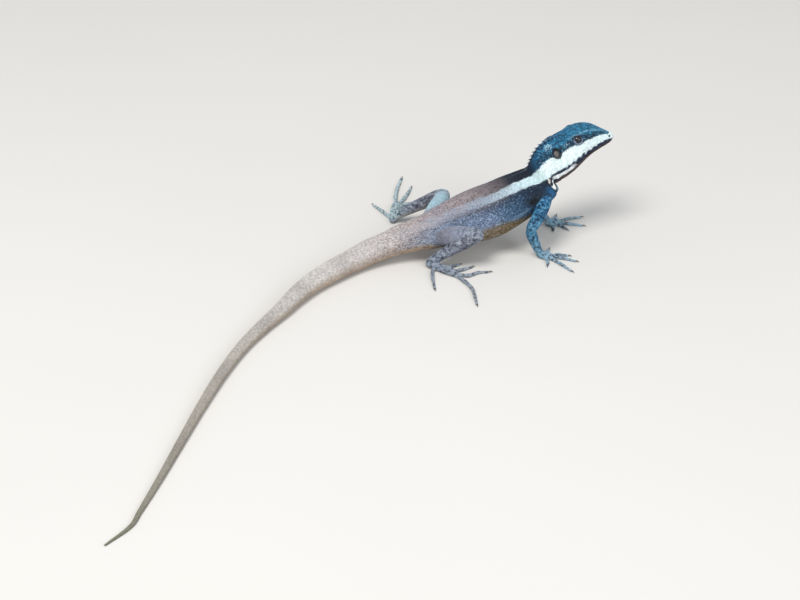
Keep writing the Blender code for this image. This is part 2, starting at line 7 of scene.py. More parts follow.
# %% Load the solid model
import json
import bmesh
import bpy
import numpy as np
from mathutils import Matrix, Vector

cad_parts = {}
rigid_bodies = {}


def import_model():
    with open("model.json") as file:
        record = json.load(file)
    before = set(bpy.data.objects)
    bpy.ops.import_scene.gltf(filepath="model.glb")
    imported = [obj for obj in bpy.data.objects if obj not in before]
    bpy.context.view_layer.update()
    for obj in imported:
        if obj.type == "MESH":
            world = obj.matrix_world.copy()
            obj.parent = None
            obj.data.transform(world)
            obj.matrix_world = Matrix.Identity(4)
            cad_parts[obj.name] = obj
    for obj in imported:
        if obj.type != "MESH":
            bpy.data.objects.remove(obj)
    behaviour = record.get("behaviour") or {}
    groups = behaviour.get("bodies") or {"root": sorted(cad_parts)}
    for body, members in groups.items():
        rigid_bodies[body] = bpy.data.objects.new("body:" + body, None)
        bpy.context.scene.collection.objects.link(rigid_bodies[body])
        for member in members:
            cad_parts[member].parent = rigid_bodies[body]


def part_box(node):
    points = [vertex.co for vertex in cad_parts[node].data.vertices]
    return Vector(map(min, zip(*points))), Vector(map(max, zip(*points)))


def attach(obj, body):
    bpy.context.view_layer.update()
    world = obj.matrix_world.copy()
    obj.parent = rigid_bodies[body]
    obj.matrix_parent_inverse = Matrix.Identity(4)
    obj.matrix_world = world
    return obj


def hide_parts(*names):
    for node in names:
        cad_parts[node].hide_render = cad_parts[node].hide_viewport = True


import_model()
bpy.context.view_layer.update()

# %% [markdown]
# ## Sections of the body
# A lizard's head, neck and trunk are one bent tube. A tube is easy to describe by the cuts made
# across it: each row below is one cut seen from the side, with its upper end, its lower end, its
# half width and how square it is. All lengths in these tables are millimetres.

# %% Sections from the snout to the hips
# Columns: upper end x and z, lower end x and z, half width, y of the middle, squareness.
BODY_CUTS = (
    (73.4, 56.9, 72.8, 54.3, 1.1, 7.5, 2.2),
    (72.5, 58.0, 71.4, 53.2, 2.3, 7.5, 2.2),
    (69.5, 59.5, 68.6, 51.8, 3.7, 7.5, 2.3),
    (66.0, 60.9, 65.0, 50.4, 4.8, 7.5, 2.4),
    (61.5, 62.6, 60.9, 48.2, 6.0, 7.5, 2.5),
    (57.0, 64.0, 57.0, 45.7, 7.3, 7.5, 2.6),
    (52.5, 64.4, 53.6, 43.0, 8.4, 7.5, 2.6),
    (48.0, 63.8, 50.6, 40.6, 9.2, 7.5, 2.5),
    (43.8, 62.6, 48.0, 38.8, 9.7, 7.4, 2.4),
    (39.5, 60.7, 46.0, 37.2, 9.8, 7.2, 2.3),
    (35.2, 58.2, 44.3, 35.9, 9.4, 6.9, 2.2),
    (31.3, 54.9, 43.0, 34.6, 9.0, 6.5, 2.1),
    (28.4, 51.0, 40.9, 33.4, 8.7, 6.0, 2.1),
    (26.5, 47.0, 41.6, 30.2, 9.6, 5.4, 2.1),
    (24.9, 43.4, 40.2, 27.0, 10.6, 4.9, 2.1),
    (21.3, 42.2, 33.6, 21.2, 11.8, 4.5, 2.2),
    (16.2, 40.9, 25.2, 17.2, 12.9, 4.2, 2.2),
    (10.1, 38.9, 16.8, 13.3, 13.9, 4.0, 2.3),
    (3.3, 36.6, 8.8, 9.5, 14.5, 4.0, 2.3),
    (-4.3, 34.7, 1.2, 7.6, 14.4, 4.0, 2.3),
    (-11.8, 32.5, -6.8, 6.9, 13.7, 4.0, 2.3),
    (-19.3, 29.9, -15.3, 6.3, 12.5, 4.0, 2.2),
    (-26.3, 27.2, -23.8, 6.0, 11.1, 4.0, 2.1),
    (-33.3, 24.4, -31.8, 5.2, 9.8, 4.1, 2.0),
    (-40.6, 21.7, -39.4, 5.0, 8.5, 4.4, 2.0),
)
# The tail behind the hips. Columns: x, y and z of its middle line, radius.
TAIL_LINE = (
    (-47.2, 5.0, 11.6, 7.8), (-53.2, 5.0, 9.9, 7.1), (-64.2, 3.9, 7.7, 6.7), (-76.5, -0.1, 5.85, 6.1),
    (-89.1, -6.2, 5.45, 5.7), (-101.9, -13.8, 4.85, 5.1), (-112.8, -22.8, 4.25, 4.5),
    (-122.4, -32.2, 3.65, 3.9), (-135.6, -44.2, 3.0, 3.25), (-149.0, -58.4, 2.6, 2.85),
    (-163.2, -77.7, 2.3, 2.55), (-177.5, -100.1, 1.95, 2.2), (-191.6, -123.7, 1.6, 1.85),
    (-205.0, -146.2, 1.25, 1.5), (-217.6, -166.4, 0.85, 1.1), (-223.5, -175.3, 0.65, 0.85),
    (-236.0, -184.1, 0.3, 0.4),
)


def hermite(knots, rows, places):
    """Smooth curve through rows: cubic pieces whose slopes come from each row's two neighbours."""
    slopes = np.gradient(rows, knots, axis=0)
    places = np.clip(np.asarray(places, float), knots[0], knots[-1])
    low = np.clip(np.searchsorted(knots, places, side="right") - 1, 0, len(knots) - 2)
    width = knots[low + 1] - knots[low]
    t = ((places - knots[low]) / width)[:, None]
    width = width[:, None]
    value = (2 * t**3 - 3 * t**2 + 1) * rows[low] + (t**3 - 2 * t**2 + t) * width * slopes[low]
    return value + (3 * t**2 - 2 * t**3) * rows[low + 1] + (t**3 - t**2) * width * slopes[low + 1]


def unit(vectors):
    """Vectors divided by their own length."""
    return vectors / np.maximum(np.linalg.norm(vectors, axis=-1, keepdims=True), 1e-9)


def turns(count):
    """Angles spaced evenly round a circle."""
    return 2 * np.pi * np.arange(count) / count


def circle(columns, first, second):
    """Ring of points: first * cos + second * sin."""
    turn = turns(columns)
    return np.cos(turn)[None, :, None] * first + np.sin(turn)[None, :, None] * second


cuts = np.array(BODY_CUTS)
tail = np.array(TAIL_LINE)
trunk_rows = np.zeros((len(cuts), 10))
trunk_rows[:, 0] = (cuts[:, 0] + cuts[:, 2]) / 2
trunk_rows[:, 1] = cuts[:, 5]
trunk_rows[:, 2] = (cuts[:, 1] + cuts[:, 3]) / 2
trunk_rows[:, 3] = (cuts[:, 0] - cuts[:, 2]) / 2
trunk_rows[:, 5] = (cuts[:, 1] - cuts[:, 3]) / 2
trunk_rows[:, 7] = cuts[:, 4]
trunk_rows[:, 9] = cuts[:, 6]
tail_rows = np.zeros((len(tail), 10))
tail_rows[:, :3] = tail[:, :3]
heading = unit(np.gradient(tail[:, :3], axis=0))
across = unit(np.cross(heading, (0.0, 0.0, 1.0)))
tail_rows[:, 6:9] = across * tail[:, 3:]
tail_rows[:, 3:6] = np.cross(across, heading) * tail[:, 3:]
tail_rows[:, 9] = 2.0
SPINE = np.concatenate([trunk_rows, tail_rows])
SPINE_KNOTS = np.arange(len(SPINE), dtype=float)
LAST = SPINE_KNOTS[-1]
print("spine rows", len(SPINE))


def body_surface(place, turn):
    """Surface of the body: middle + up * cos(turn) + side * sin(turn), each raised to 2 / squareness.

    place is a row number along the spine; turn is 0 on the back, a quarter turn on the left flank.
    """
    row = hermite(SPINE_KNOTS, SPINE, place)
    power = 2.0 / row[:, 9:10]
    c, s = np.cos(turn)[None, :], np.sin(turn)[None, :]
    up = (np.sign(c) * np.abs(c) ** power)[:, :, None] * row[:, None, 3:6]
    side = (np.sign(s) * np.abs(s) ** power)[:, :, None] * row[:, None, 6:9]
    return row[:, None, :3] + up + side


def grid_normals(points):
    """Outward unit normals of a tube of rings: the cross product of its two grid directions."""
    ahead = np.gradient(points, axis=0)
    around = np.roll(points, -1, axis=1) - np.roll(points, 1, axis=1)
    normal = unit(np.cross(around, ahead))
    outward = points - points.mean(axis=1, keepdims=True)
    return normal * np.sign((normal * outward).sum(axis=(1, 2), keepdims=True))


# %% [markdown]
# ## A fine grid on the body
# The rings lie close together on the head, where lids, lips and nostrils need them, and further
# apart down the tail. Their spacing is a number of millimetres that changes along the spine.

# %% Rings and columns of the body
RING_SPACING = ((0.0, 0.31), (9.5, 0.38), (13.0, 0.60), (24.0, 0.90), (30.0, 1.45), (LAST, 2.1))
BODY_COLUMNS = 136

fine = np.linspace(0, LAST, 6000)
path = hermite(SPINE_KNOTS, SPINE, fine)[:, :3]
length_along = np.concatenate([[0], np.cumsum(np.linalg.norm(np.diff(path, axis=0), axis=1))])
spacing = np.interp(fine, *zip(*RING_SPACING))
ring_number = np.concatenate([[0], np.cumsum(np.diff(length_along) / spacing[1:])])
BODY_RINGS = int(ring_number[-1]) + 1
body_place = np.interp(np.linspace(0, ring_number[-1], BODY_RINGS), ring_number, fine)
body_turn = turns(BODY_COLUMNS)
body_base = body_surface(body_place, body_turn)
body_normal = grid_normals(body_base)
print("body rings", BODY_RINGS, "length in mm", round(length_along[-1], 1))

# %% [markdown]
# ## Relief of the head and neck
# Lids, brow, lips, nostrils, ear hollows and throat folds are small heights added along the normal.
# Each is a soft hill or hollow round a point or a line, so one number per grid point is enough.

# %% Places of the features, in the side view
MOUTH = ((82.0, 57.0), (73.2, 55.4), (69.5, 54.7), (65.4, 53.7), (60.0, 51.9), (53.4, 49.4), (47.5, 47.2),
         (42.0, 44.6), (36.0, 41.2))
MOUTH_CORNER = 46.5
EYE_AT, EAR_AT, NOSTRIL_AT = (50.8, 60.9), (38.6, 54.8), (70.7, 57.6)
# Radius of the ball, and the height of the opening between the lids as a share of its length.
EYE_BALL = 2.6
LID_SHAPE = 0.74
BROW = ((68.5, 59.2), (64.5, 60.8), (60.0, 62.3), (55.5, 63.5), (51.0, 63.8), (47.0, 62.9), (43.5, 61.2))


def hill(distance, width):
    """Bell curve: 1 at no distance, fading with the square of distance over width."""
    return np.exp(-((distance / width) ** 2))


def step_up(value, low, high):
    """Smooth step from 0 at low to 1 at high."""
    t = np.clip((value - low) / (high - low), 0, 1)
    return t * t * (3 - 2 * t)


def line_distance(x, z, line):
    """Distance to a polyline in the side view, and 1 above it or -1 below it."""
    best = np.full(x.shape, 1e9)
    sign = np.ones(x.shape)
    for (x0, z0), (x1, z1) in zip(line[:-1], line[1:]):
        dx, dz = x1 - x0, z1 - z0
        share = np.clip(((x - x0) * dx + (z - z0) * dz) / (dx * dx + dz * dz), 0, 1)
        off_x, off_z = x - x0 - share * dx, z - z0 - share * dz
        gap = np.hypot(off_x, off_z)
        nearer = gap < best
        best = np.where(nearer, gap, best)
        sign = np.where(nearer, np.where(off_x * dz - off_z * dx > 0, 1.0, -1.0), sign)
    return best, sign


def nearest_on_head(x, z, side):
    """Grid ring and column nearest to a point of the side view, on the right (-1) or left (1)."""
    head = body_base[body_place < 14]
    left = np.sin(body_turn) * side > 0.02
    gap = np.hypot(head[..., 0] - x, head[..., 2] - z) + np.where(left, 0, 1e6)[None, :]
    return np.unravel_index(np.argmin(gap), gap.shape)


def feature(x, z, side):
    """Point and outward normal of the head at a place of the side view."""
    ring, column = nearest_on_head(x, z, side)
    return body_base[ring, column], body_normal[ring, column]


SIDES = {"right": -1, "left": 1}
EYE_CENTRES = {"right": (50.80, 1.59, 60.11), "left": (50.80, 13.42, 60.11)}
eyes = {}
for word, side in SIDES.items():
    eyes[word] = (np.array(EYE_CENTRES[word]), feature(*EYE_AT, side)[1])
eye_box = np.array(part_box("eye_right")) * 1000
ORIGIN = eye_box.mean(axis=0) - EYE_CENTRES["right"]
ORIGIN[2] = 0.0
print("offset of the tables from the model's origin in mm", np.round(ORIGIN, 2))


def lid_distance(points, word):
    """Distance from an eye's axis, with heights divided by LID_SHAPE, and the depth along that axis."""
    centre, normal = eyes[word]
    off = points - centre
    deep = off @ normal
    flat = off - deep[..., None] * normal
    upward = unit(np.cross(normal, np.cross((0.0, 0.0, 1.0), normal)))
    lift = flat @ upward
    level = np.maximum((flat**2).sum(axis=-1) - lift**2, 0)
    return np.sqrt(level + (lift / LID_SHAPE) ** 2), deep


# %% Folds, pits and broad forms
# Folds beside a line: height, place across it (above the mouth or brow, out from the eye, or the
# spine row) and width.
LIP_FOLDS = ((-0.55, 0.0, 0.30), (0.30, 0.85, 0.60), (0.34, -0.85, 0.60))
BROW_FOLDS = ((0.85, 0.0, 1.1), (-0.30, -2.2, 0.9))
LID_FOLDS = ((0.90, 2.32, 0.46), (0.30, 3.55, 0.5), (-0.12, 2.95, 0.25))
JOWL_FOLDS = ((0.35, 12.0, 0.5), (-0.50, 12.62, 0.20))
COLLAR_FOLDS = ((-0.85, 12.1, 0.32), (0.45, 12.8, 0.42), (-0.35, 13.5, 0.25))
# Wrinkles of the throat: spine row and depth.
WRINKLES = ((10.6, 0.30), (11.3, 0.38), (14.6, 0.35), (15.2, 0.25))
# Pits: depth, radius, softness of the edge; then the rim's height, radius and width.
EAR_PIT = (1.35, 2.15, 0.5, 0.35, 2.55, 0.45)
NOSTRIL_PIT = (0.65, 0.55, 0.3, 0.16, 0.85, 0.3)
# Broad forms: height, spine row and its width, turn from the back and its width.
THROAT_SWELLING = (0.95, 7.8, 2.7, np.pi, 0.95)
CROWN_FORMS = ((1.30, 4.2, 1.25, 0.0, 1.0), (-1.8, 7.6, 1.30, 0.0, 0.9), (-1.0, 9.4, 1.0, 0.0, 0.8))
row = body_place[:, None] + 0 * body_turn[None, :]
turn_from_back = np.minimum(body_turn, 2 * np.pi - body_turn)[None, :]


def folds(distance, rows):
    """Soft folds: the sum of height * hill of the distance from each fold's place."""
    return sum(height * hill(distance - at, wide) for height, at, wide in rows)


def pit(gap, depth, radius, soft, rim, rim_at, rim_wide):
    """Pit: a hollow inside a radius, with a raised rim round it."""
    return rim * hill(gap - rim_at, rim_wide) - depth * step_up(radius - gap, 0.0, soft)


def broad_form(height, at, wide, turn, turn_wide):
    """Broad form: height * hill along the spine * hill round the body."""
    return height * hill(row - at, wide) * hill(turn_from_back - turn, turn_wide)


print("broad forms", 1 + len(CROWN_FORMS), "wrinkles", len(WRINKLES))

# %% Heights of the relief
X, Z = body_base[..., 0], body_base[..., 2]
under = step_up(-np.cos(body_turn)[None, :] + 0 * row, -0.1, 0.6)
on_head = step_up(14.0 - row, 0.0, 1.0)
relief = np.zeros(row.shape)

mouth_gap, mouth_sign = line_distance(X, Z, MOUTH)
mouth_open = step_up(X, MOUTH_CORNER - 1.0, MOUTH_CORNER + 1.0) * (row < 10)
relief += folds(mouth_gap * mouth_sign, LIP_FOLDS) * mouth_open

brow_gap, brow_sign = line_distance(X, Z, BROW)
brow_strength = np.interp(X, (42.5, 47.0, 51.0, 58.0, 69.5), (0.0, 0.7, 1.0, 0.6, 0.25)) * (row < 11)
relief += folds(brow_gap * brow_sign, BROW_FOLDS) * brow_strength

for word, side in SIDES.items():
    lid, deep = lid_distance(body_base, word)
    near = (deep > -3.0) & (row < 11)
    relief = np.where(near & (lid < 1.95), -2.2 * step_up(2.1 - lid, 0.0, 0.45), relief)
    relief += near * folds(lid, LID_FOLDS)
    for place, form in ((EAR_AT, EAR_PIT), (NOSTRIL_AT, NOSTRIL_PIT)):
        gap = np.linalg.norm(body_base - feature(*place, side)[0], axis=-1)
        relief += pit(gap, *form)

relief += 0.8 * hill(np.hypot(X - 43.5, Z - 49.0), 5.5) * on_head
relief += broad_form(*THROAT_SWELLING)
jowl_share = hill(turn_from_back / np.pi - 0.41, 0.11)
relief += folds(row, JOWL_FOLDS) * jowl_share
relief += folds(row, COLLAR_FOLDS) * under
for wrinkle, depth in WRINKLES:
    relief -= depth * hill(row - wrinkle + 0.25 * np.cos(2 * body_turn)[None, :], 0.16) * under
for form in CROWN_FORMS:
    relief += broad_form(*form)
relief += 0.45 * hill(turn_from_back, 0.13) * step_up(row, 8.0, 11.0) * step_up(30.0 - row, 0.0, 8.0)
relief -= 0.35 * hill(turn_from_back - 0.42, 0.2) * step_up(row, 13.0, 16.0) * step_up(25.0 - row, 0.0, 4.0)
body_grid = body_base + body_normal * relief[..., None]
print("relief from", round(relief.min(), 2), "to", round(relief.max(), 2), "mm")

# %% [markdown]
# ## Legs, hands and feet
# Each leg is two rounded tubes that overlap at the elbow or knee, with a palm and five tapered toes.
# A tube is a circle carried along a smooth path, with its radius given at a few places.

# %% Paths of the legs and toes
# Rows: x, y, z and radius.
LEGS = {
    "upper_arm_right": ((31.5, 1.0, 31.0, 4.8), (31.0, -3.6, 29.8, 4.7), (28.2, -8.6, 25.6, 3.7),
                        (23.4, -12.4, 20.4, 3.1), (21.2, -13.5, 18.0, 2.9)),
    "forearm_right": ((20.8, -13.7, 17.2, 2.5), (21.4, -13.8, 14.6, 2.9), (23.7, -14.3, 8.4, 2.5),
                      (26.1, -15.1, 2.9, 1.9)),
    "upper_arm_left": ((31.5, 8.0, 31.0, 4.7), (31.5, 12.0, 28.6, 4.3), (31.5, 14.8, 24.4, 3.6),
                       (31.6, 16.2, 20.4, 3.1), (31.8, 16.7, 17.4, 2.9)),
    "forearm_left": ((31.9, 16.8, 16.6, 2.5), (33.2, 16.8, 13.6, 2.8), (37.4, 15.6, 8.0, 2.4),
                     (41.2, 14.4, 2.9, 1.9)),
    "thigh_right": ((-29.5, 1.5, 15.5, 6.2), (-25.5, -4.0, 16.5, 5.8), (-17.5, -10.2, 18.8, 4.8),
                    (-10.8, -14.0, 20.0, 3.8)),
    "shank_right": ((-9.6, -14.9, 20.0, 3.3), (-14.5, -14.0, 17.4, 3.8), (-24.0, -11.0, 10.6, 3.1),
                    (-33.4, -8.0, 3.6, 2.3)),
    "thigh_left": ((-29.5, 6.5, 15.5, 6.2), (-26.5, 12.5, 17.0, 5.8), (-21.0, 20.5, 19.5, 4.8),
                   (-15.8, 27.6, 21.0, 3.8)),
    "shank_left": ((-15.2, 29.0, 21.2, 3.3), (-19.5, 31.2, 18.4, 3.7), (-29.5, 37.0, 11.0, 3.0),
                   (-39.8, 42.2, 3.6, 2.3)),
    "hand_right": ((26.3, -15.3, 1.9, 2.1), (29.2, -17.2, 1.7, 2.5), (31.6, -18.8, 1.4, 2.0)),
    "hand_left": ((41.6, 14.2, 1.9, 2.1), (44.6, 14.6, 1.7, 2.5), (47.2, 14.8, 1.4, 2.0)),
    "foot_right": ((-34.4, -7.6, 2.1, 2.3), (-29.4, -13.6, 1.9, 2.4), (-24.0, -19.8, 1.6, 2.3)),
    "foot_left": ((-40.9, 41.6, 2.1, 2.3), (-37.8, 49.4, 1.9, 2.4), (-34.4, 57.4, 1.6, 2.3)),
}
# Toes of each hand and foot, from the inner to the outer one, as x and y on the floor.
TOES = {
    "hand_right": (((28.6, -15.6), (31.6, -12.6), (33.4, -9.9)),
                   ((30.6, -17.0), (36.2, -16.6), (41.0, -18.6)),
                   ((31.6, -18.4), (37.6, -21.0), (43.0, -24.8)),
                   ((31.2, -19.2), (34.6, -26.2), (37.6, -33.2)),
                   ((28.6, -18.6), (28.4, -21.8), (27.4, -24.2))),
    "hand_left": (((43.4, 13.2), (43.6, 11.0), (42.6, 8.6)),
                  ((46.0, 13.6), (48.4, 10.6), (49.8, 7.6)),
                  ((47.4, 14.2), (53.6, 11.6), (59.6, 8.6)),
                  ((47.4, 15.4), (54.4, 17.0), (61.6, 17.2)),
                  ((45.2, 16.4), (47.2, 19.6), (49.2, 22.4))),
    "foot_right": (((-27.8, -13.6), (-22.6, -12.2), (-18.8, -11.2)),
                   ((-25.2, -17.2), (-18.6, -16.8), (-12.8, -15.2)),
                   ((-23.4, -19.8), (-17.5, -23.3), (-11.4, -21.8), (-5.4, -22.2)),
                   ((-23.6, -20.8), (-20.6, -28.6), (-19.1, -35.8), (-20.0, -43.4), (-21.0, -49.8)),
                   ((-33.0, -10.4), (-35.8, -18.2), (-37.9, -29.6))),
    "foot_left": (((-36.4, 49.0), (-31.4, 50.4), (-27.6, 51.4)),
                  ((-35.2, 54.2), (-29.2, 57.0), (-23.6, 58.6)),
                  ((-34.2, 57.2), (-28.6, 62.6), (-24.4, 68.4), (-20.6, 74.6)),
                  ((-34.6, 58.2), (-32.2, 66.4), (-29.0, 74.6), (-25.6, 81.2), (-22.8, 86.4)),
                  ((-40.8, 44.6), (-43.8, 53.6), (-46.4, 61.6))),
}
FINGER_RADII, TOE_RADII = (0.98, 0.55), (1.12, 0.58)
SOLE_DEPTH = 0.25
LEG_RINGS, LEG_COLUMNS = 60, 48
PALM_RINGS, PALM_COLUMNS, PALM_FLATNESS = 26, 36, 0.9
TOE_RINGS, TOE_COLUMNS, TOE_RIPPLE = 10, 20, 0.07
CAP_TURNS = np.radians((20, 40, 58, 74, 84))


def tube_grid(rows, rings, columns, flat=1.0, ripple=0.0):
    """Rings of a tube: middle + radius * (first * cos + second * sin), with half-ball ends.

    first and second stand square to the path, first as upright as the line between the path's ends
    allows; flat presses the height, ripple swells the joints.
    """
    rows = np.array(rows, dtype=float)
    knots = np.arange(len(rows), dtype=float)
    places = np.linspace(0, knots[-1], rings)
    row = hermite(knots, rows, places)
    step = (hermite(knots, rows, places + 0.02) - hermite(knots, rows, places - 0.02))[:, :3]
    middle, radius, ahead = row[:, :3], row[:, 3], unit(step)
    radius = radius * (1 + ripple * np.cos(2 * np.pi * places))
    caps = len(CAP_TURNS)
    before = middle[0] - ahead[0] * radius[0] * np.sin(CAP_TURNS[::-1])[:, None]
    after = middle[-1] + ahead[-1] * radius[-1] * np.sin(CAP_TURNS)[:, None]
    middle = np.concatenate([before, middle, after])
    radius = np.concatenate([radius[0] * np.cos(CAP_TURNS[::-1]), radius, radius[-1] * np.cos(CAP_TURNS)])
    ahead = np.concatenate([[ahead[0]] * caps, ahead, [ahead[-1]] * caps])
    chord = unit(middle[-1] - middle[0])
    height = np.array((0.0, 0.0, 1.0)) - chord * chord[2]
    up = unit(height - ahead * (ahead @ height)[:, None])
    side = np.cross(up, ahead)
    ring = circle(columns, up[:, None, :] * flat, side[:, None, :])
    return middle[:, None, :] + radius[:, None, None] * ring


def toe_rows(points, radii):
    """Rows of one toe: it lies on the floor, tapers, and arches a little between root and tip."""
    points = np.array(points, dtype=float)
    share = np.linspace(0, 1, len(points))
    radius = radii[0] + (radii[1] - radii[0]) * share
    rise = radius - SOLE_DEPTH + 0.35 * np.sin(np.pi * share)
    return np.column_stack([points, rise, radius])


def lengthwise(points):
    """Millimetres along the middle of a tube of rings."""
    middle = points.mean(axis=1)
    return np.concatenate([[0], np.cumsum(np.linalg.norm(np.diff(middle, axis=0), axis=1))])


limbs = {}
for name, rows in LEGS.items():
    if name in TOES:
        limbs[name] = tube_grid(rows, PALM_RINGS, PALM_COLUMNS, PALM_FLATNESS)
    else:
        limbs[name] = tube_grid(rows, LEG_RINGS, LEG_COLUMNS)
for name, toes in TOES.items():
    radii = FINGER_RADII if name.startswith("hand") else TOE_RADII
    for number, points in enumerate(toes, 1):
        grid = tube_grid(toe_rows(points, radii), TOE_RINGS * len(points), TOE_COLUMNS, ripple=TOE_RIPPLE)
        limbs["%s_toe_%d" % (name, number)] = grid
print("leg and toe tubes", len(limbs))

# %% [markdown]
# ## One skin
# A living skin has no seams, so the body, legs and toes are joined into one mesh by a Boolean union.
# The sharp crease that is left where two tubes meet is then relaxed, as skin stretches across a joint.
# Numbers ride on every point: how far along and around the body it lies, and the same on a leg.

# %% Meshes from arrays
def tube_faces(rings, columns):
    """Quads of a tube of rings and the fans that close its two ends; two middle points come last."""
    ring = np.arange(rings - 1)[:, None] * columns
    here = np.arange(columns)[None, :]
    nxt = (here + 1) % columns
    quads = np.stack([ring + here, ring + nxt, ring + columns + nxt, ring + columns + here], axis=-1)
    quads = quads.reshape(-1, 4)
    here, nxt = here[0], nxt[0]
    tip = np.full(columns, rings * columns)
    last = (rings - 1) * columns
    fans = np.concatenate([np.stack([tip, nxt, here], axis=1),
                           np.stack([tip + 1, last + here, last + nxt], axis=1)])
    return quads, fans


def new_mesh(name, points, quads=(), triangles=()):
    """Mesh object from arrays of points in millimetres, quads and triangles."""
    mesh = bpy.data.meshes.new(name)
    points = (np.asarray(points, float) + ORIGIN) * 0.001
    quads = np.asarray(quads, int).reshape(-1, 4)
    triangles = np.asarray(triangles, int).reshape(-1, 3)
    corners = np.concatenate([quads.ravel(), triangles.ravel()])
    sizes = np.concatenate([np.full(len(quads), 4), np.full(len(triangles), 3)])
    mesh.vertices.add(len(points))
    mesh.vertices.foreach_set("co", points.ravel())
    mesh.loops.add(len(corners))
    mesh.loops.foreach_set("vertex_index", corners)
    mesh.polygons.add(len(sizes))
    mesh.polygons.foreach_set("loop_start", np.concatenate([[0], np.cumsum(sizes)[:-1]]))
    mesh.polygons.foreach_set("use_smooth", np.ones(len(sizes), bool))
    mesh.update(calc_edges=True)
    mesh.validate()
    item = bpy.data.objects.new(name, mesh)
    bpy.context.scene.collection.objects.link(item)
    return item


# %% Numbers and points of a mesh
def set_numbers(item, name, values):
    """Stores one number per point on a mesh."""
    attribute = item.data.attributes.get(name) or item.data.attributes.new(name, "FLOAT", "POINT")
    attribute.data.foreach_set("value", np.asarray(values, np.float32).ravel())


def get_numbers(item, name):
    """Reads one number per point from a mesh."""
    values = np.zeros(len(item.data.vertices), np.float32)
    item.data.attributes[name].data.foreach_get("value", values)
    return values


def get_points(item):
    """Points of a mesh in metres."""
    points = np.zeros(len(item.data.vertices) * 3)
    item.data.vertices.foreach_get("co", points)
    return points.reshape(-1, 3)


def outward(item):
    """Turns every face of a closed mesh outwards."""
    work = bmesh.new()
    work.from_mesh(item.data)
    bmesh.ops.recalc_face_normals(work, faces=work.faces)
    work.to_mesh(item.data)
    work.free()


def with_ends(values):
    """Numbers or points of a grid as one list, with one more for the middle of each end."""
    ends = [values[0].mean(axis=0), values[-1].mean(axis=0)]
    return np.concatenate([values.reshape(-1, *values.shape[2:]), ends])


def closed_tubes(name, grids_list):
    """One mesh of several tubes of rings, each closed at both ends."""
    points, quads, fans, base = [], [], [], 0
    for grid in grids_list:
        tube_quads, tube_fans = tube_faces(*grid.shape[:2])
        points.append(with_ends(grid))
        quads.append(tube_quads + base)
        fans.append(tube_fans + base)
        base += len(points[-1])
    item = new_mesh(name, np.concatenate(points), np.concatenate(quads), np.concatenate(fans))
    outward(item)
    return item


# %% Numbers on every tube
LIMB_SPAN = 110.0
LIMB_STARTS = {"upper": 0.0, "thigh": 0.0, "forearm": 22.0, "shank": 27.0, "hand": 38.0, "foot": 57.0}
FINGER_START, TOE_START = 45.0, 68.0
ARM_ROOT, LEG_ROOT = 14.6 / LAST, 22.0 / LAST


def spread(values, shape, axis):
    """One value for each ring (axis 0) or each column (axis 1), repeated over a whole tube."""
    values = np.asarray(values, dtype=float)
    return np.broadcast_to(values[:, None] if axis == 0 else values[None, :], shape).copy()


def around_share(columns):
    """0 on top, 1 underneath, the same on both sides."""
    turn = np.arange(columns) / columns
    return np.minimum(turn, 1 - turn) * 2


def body_numbers(shape):
    """Along and around for the body's markings; the leg's own numbers stay at rest."""
    still = np.zeros(shape)
    along, around = spread(body_place / LAST, shape, 0), spread(around_share(shape[1]), shape, 1)
    return {"along": along, "around": around, "reach": still, "ring": still + 0.5, "limb": still}


def limb_numbers(name, grid):
    """Reach (from the shoulder or hip outwards) and ring for a leg's or toe's markings.

    Ring is half of 1 minus how far a point faces up and outwards: 0 outside and on top, 1 underneath.
    """
    shape = grid.shape[:2]
    arm = "arm" in name or "hand" in name
    start = LIMB_STARTS[name.split("_")[0]]
    if "toe" in name:
        start = FINGER_START if arm else TOE_START
    flat = name.startswith(("hand", "foot"))
    way = unit(np.array((0.0, 0.0 if flat else -0.8 if "right" in name else 0.8, 1.0)))
    facing = unit(grid - grid.mean(axis=1, keepdims=True)) @ way
    still = np.zeros(shape)
    return {"along": still + (ARM_ROOT if arm else LEG_ROOT), "around": still + 0.45,
            "reach": spread((start + lengthwise(grid)) / LIMB_SPAN, shape, 0),
            "ring": 0.5 - 0.5 * facing, "limb": still + 1.0}


NUMBERS = ("along", "around", "reach", "ring", "limb")
grids = {"body": body_grid}
grids.update(limbs)
firsts, total = {}, 1
for name, grid in grids.items():
    firsts[name] = total
    total += grid.shape[0] * grid.shape[1] + 2

start_points = np.full((total, 3), 1e3)
start_numbers = {word: np.zeros(total) for word in NUMBERS}
tubes = bpy.data.collections.new("tubes")
bpy.context.scene.collection.children.link(tubes)
skin = None
for name, grid in grids.items():
    item = closed_tubes(name, [grid])
    numbers = body_numbers(grid.shape[:2]) if name == "body" else limb_numbers(name, grid)
    span = slice(firsts[name], firsts[name] + len(item.data.vertices))
    start_points[span] = get_points(item)
    for word in NUMBERS:
        start_numbers[word][span] = with_ends(numbers[word])
    if name == "body":
        skin = item
    else:
        bpy.context.scene.collection.objects.unlink(item)
        tubes.objects.link(item)
skin.name = "skin"
print("points on the body tube", len(skin.data.vertices))

# %% Union, and relaxing of the creases
union = skin.modifiers.new("union", "BOOLEAN")
union.operation, union.solver = "UNION", "EXACT"
union.operand_type, union.collection = "COLLECTION", tubes
graph = bpy.context.evaluated_depsgraph_get()
joined = bpy.data.meshes.new_from_object(skin.evaluated_get(graph))
skin.modifiers.clear()
skin.data = joined
for item in list(tubes.objects):
    bpy.data.objects.remove(item, do_unlink=True)
bpy.data.collections.remove(tubes)
work = bmesh.new()
work.from_mesh(joined)
bmesh.ops.triangulate(work, faces=[face for face in work.faces if len(face.verts) > 4])
work.to_mesh(joined)
work.free()


def edge_array(item):
    """Pairs of points joined by each edge."""
    pairs = np.zeros(len(item.data.edges) * 2, np.int32)
    item.data.edges.foreach_get("vertices", pairs)
    return pairs.reshape(-1, 2)


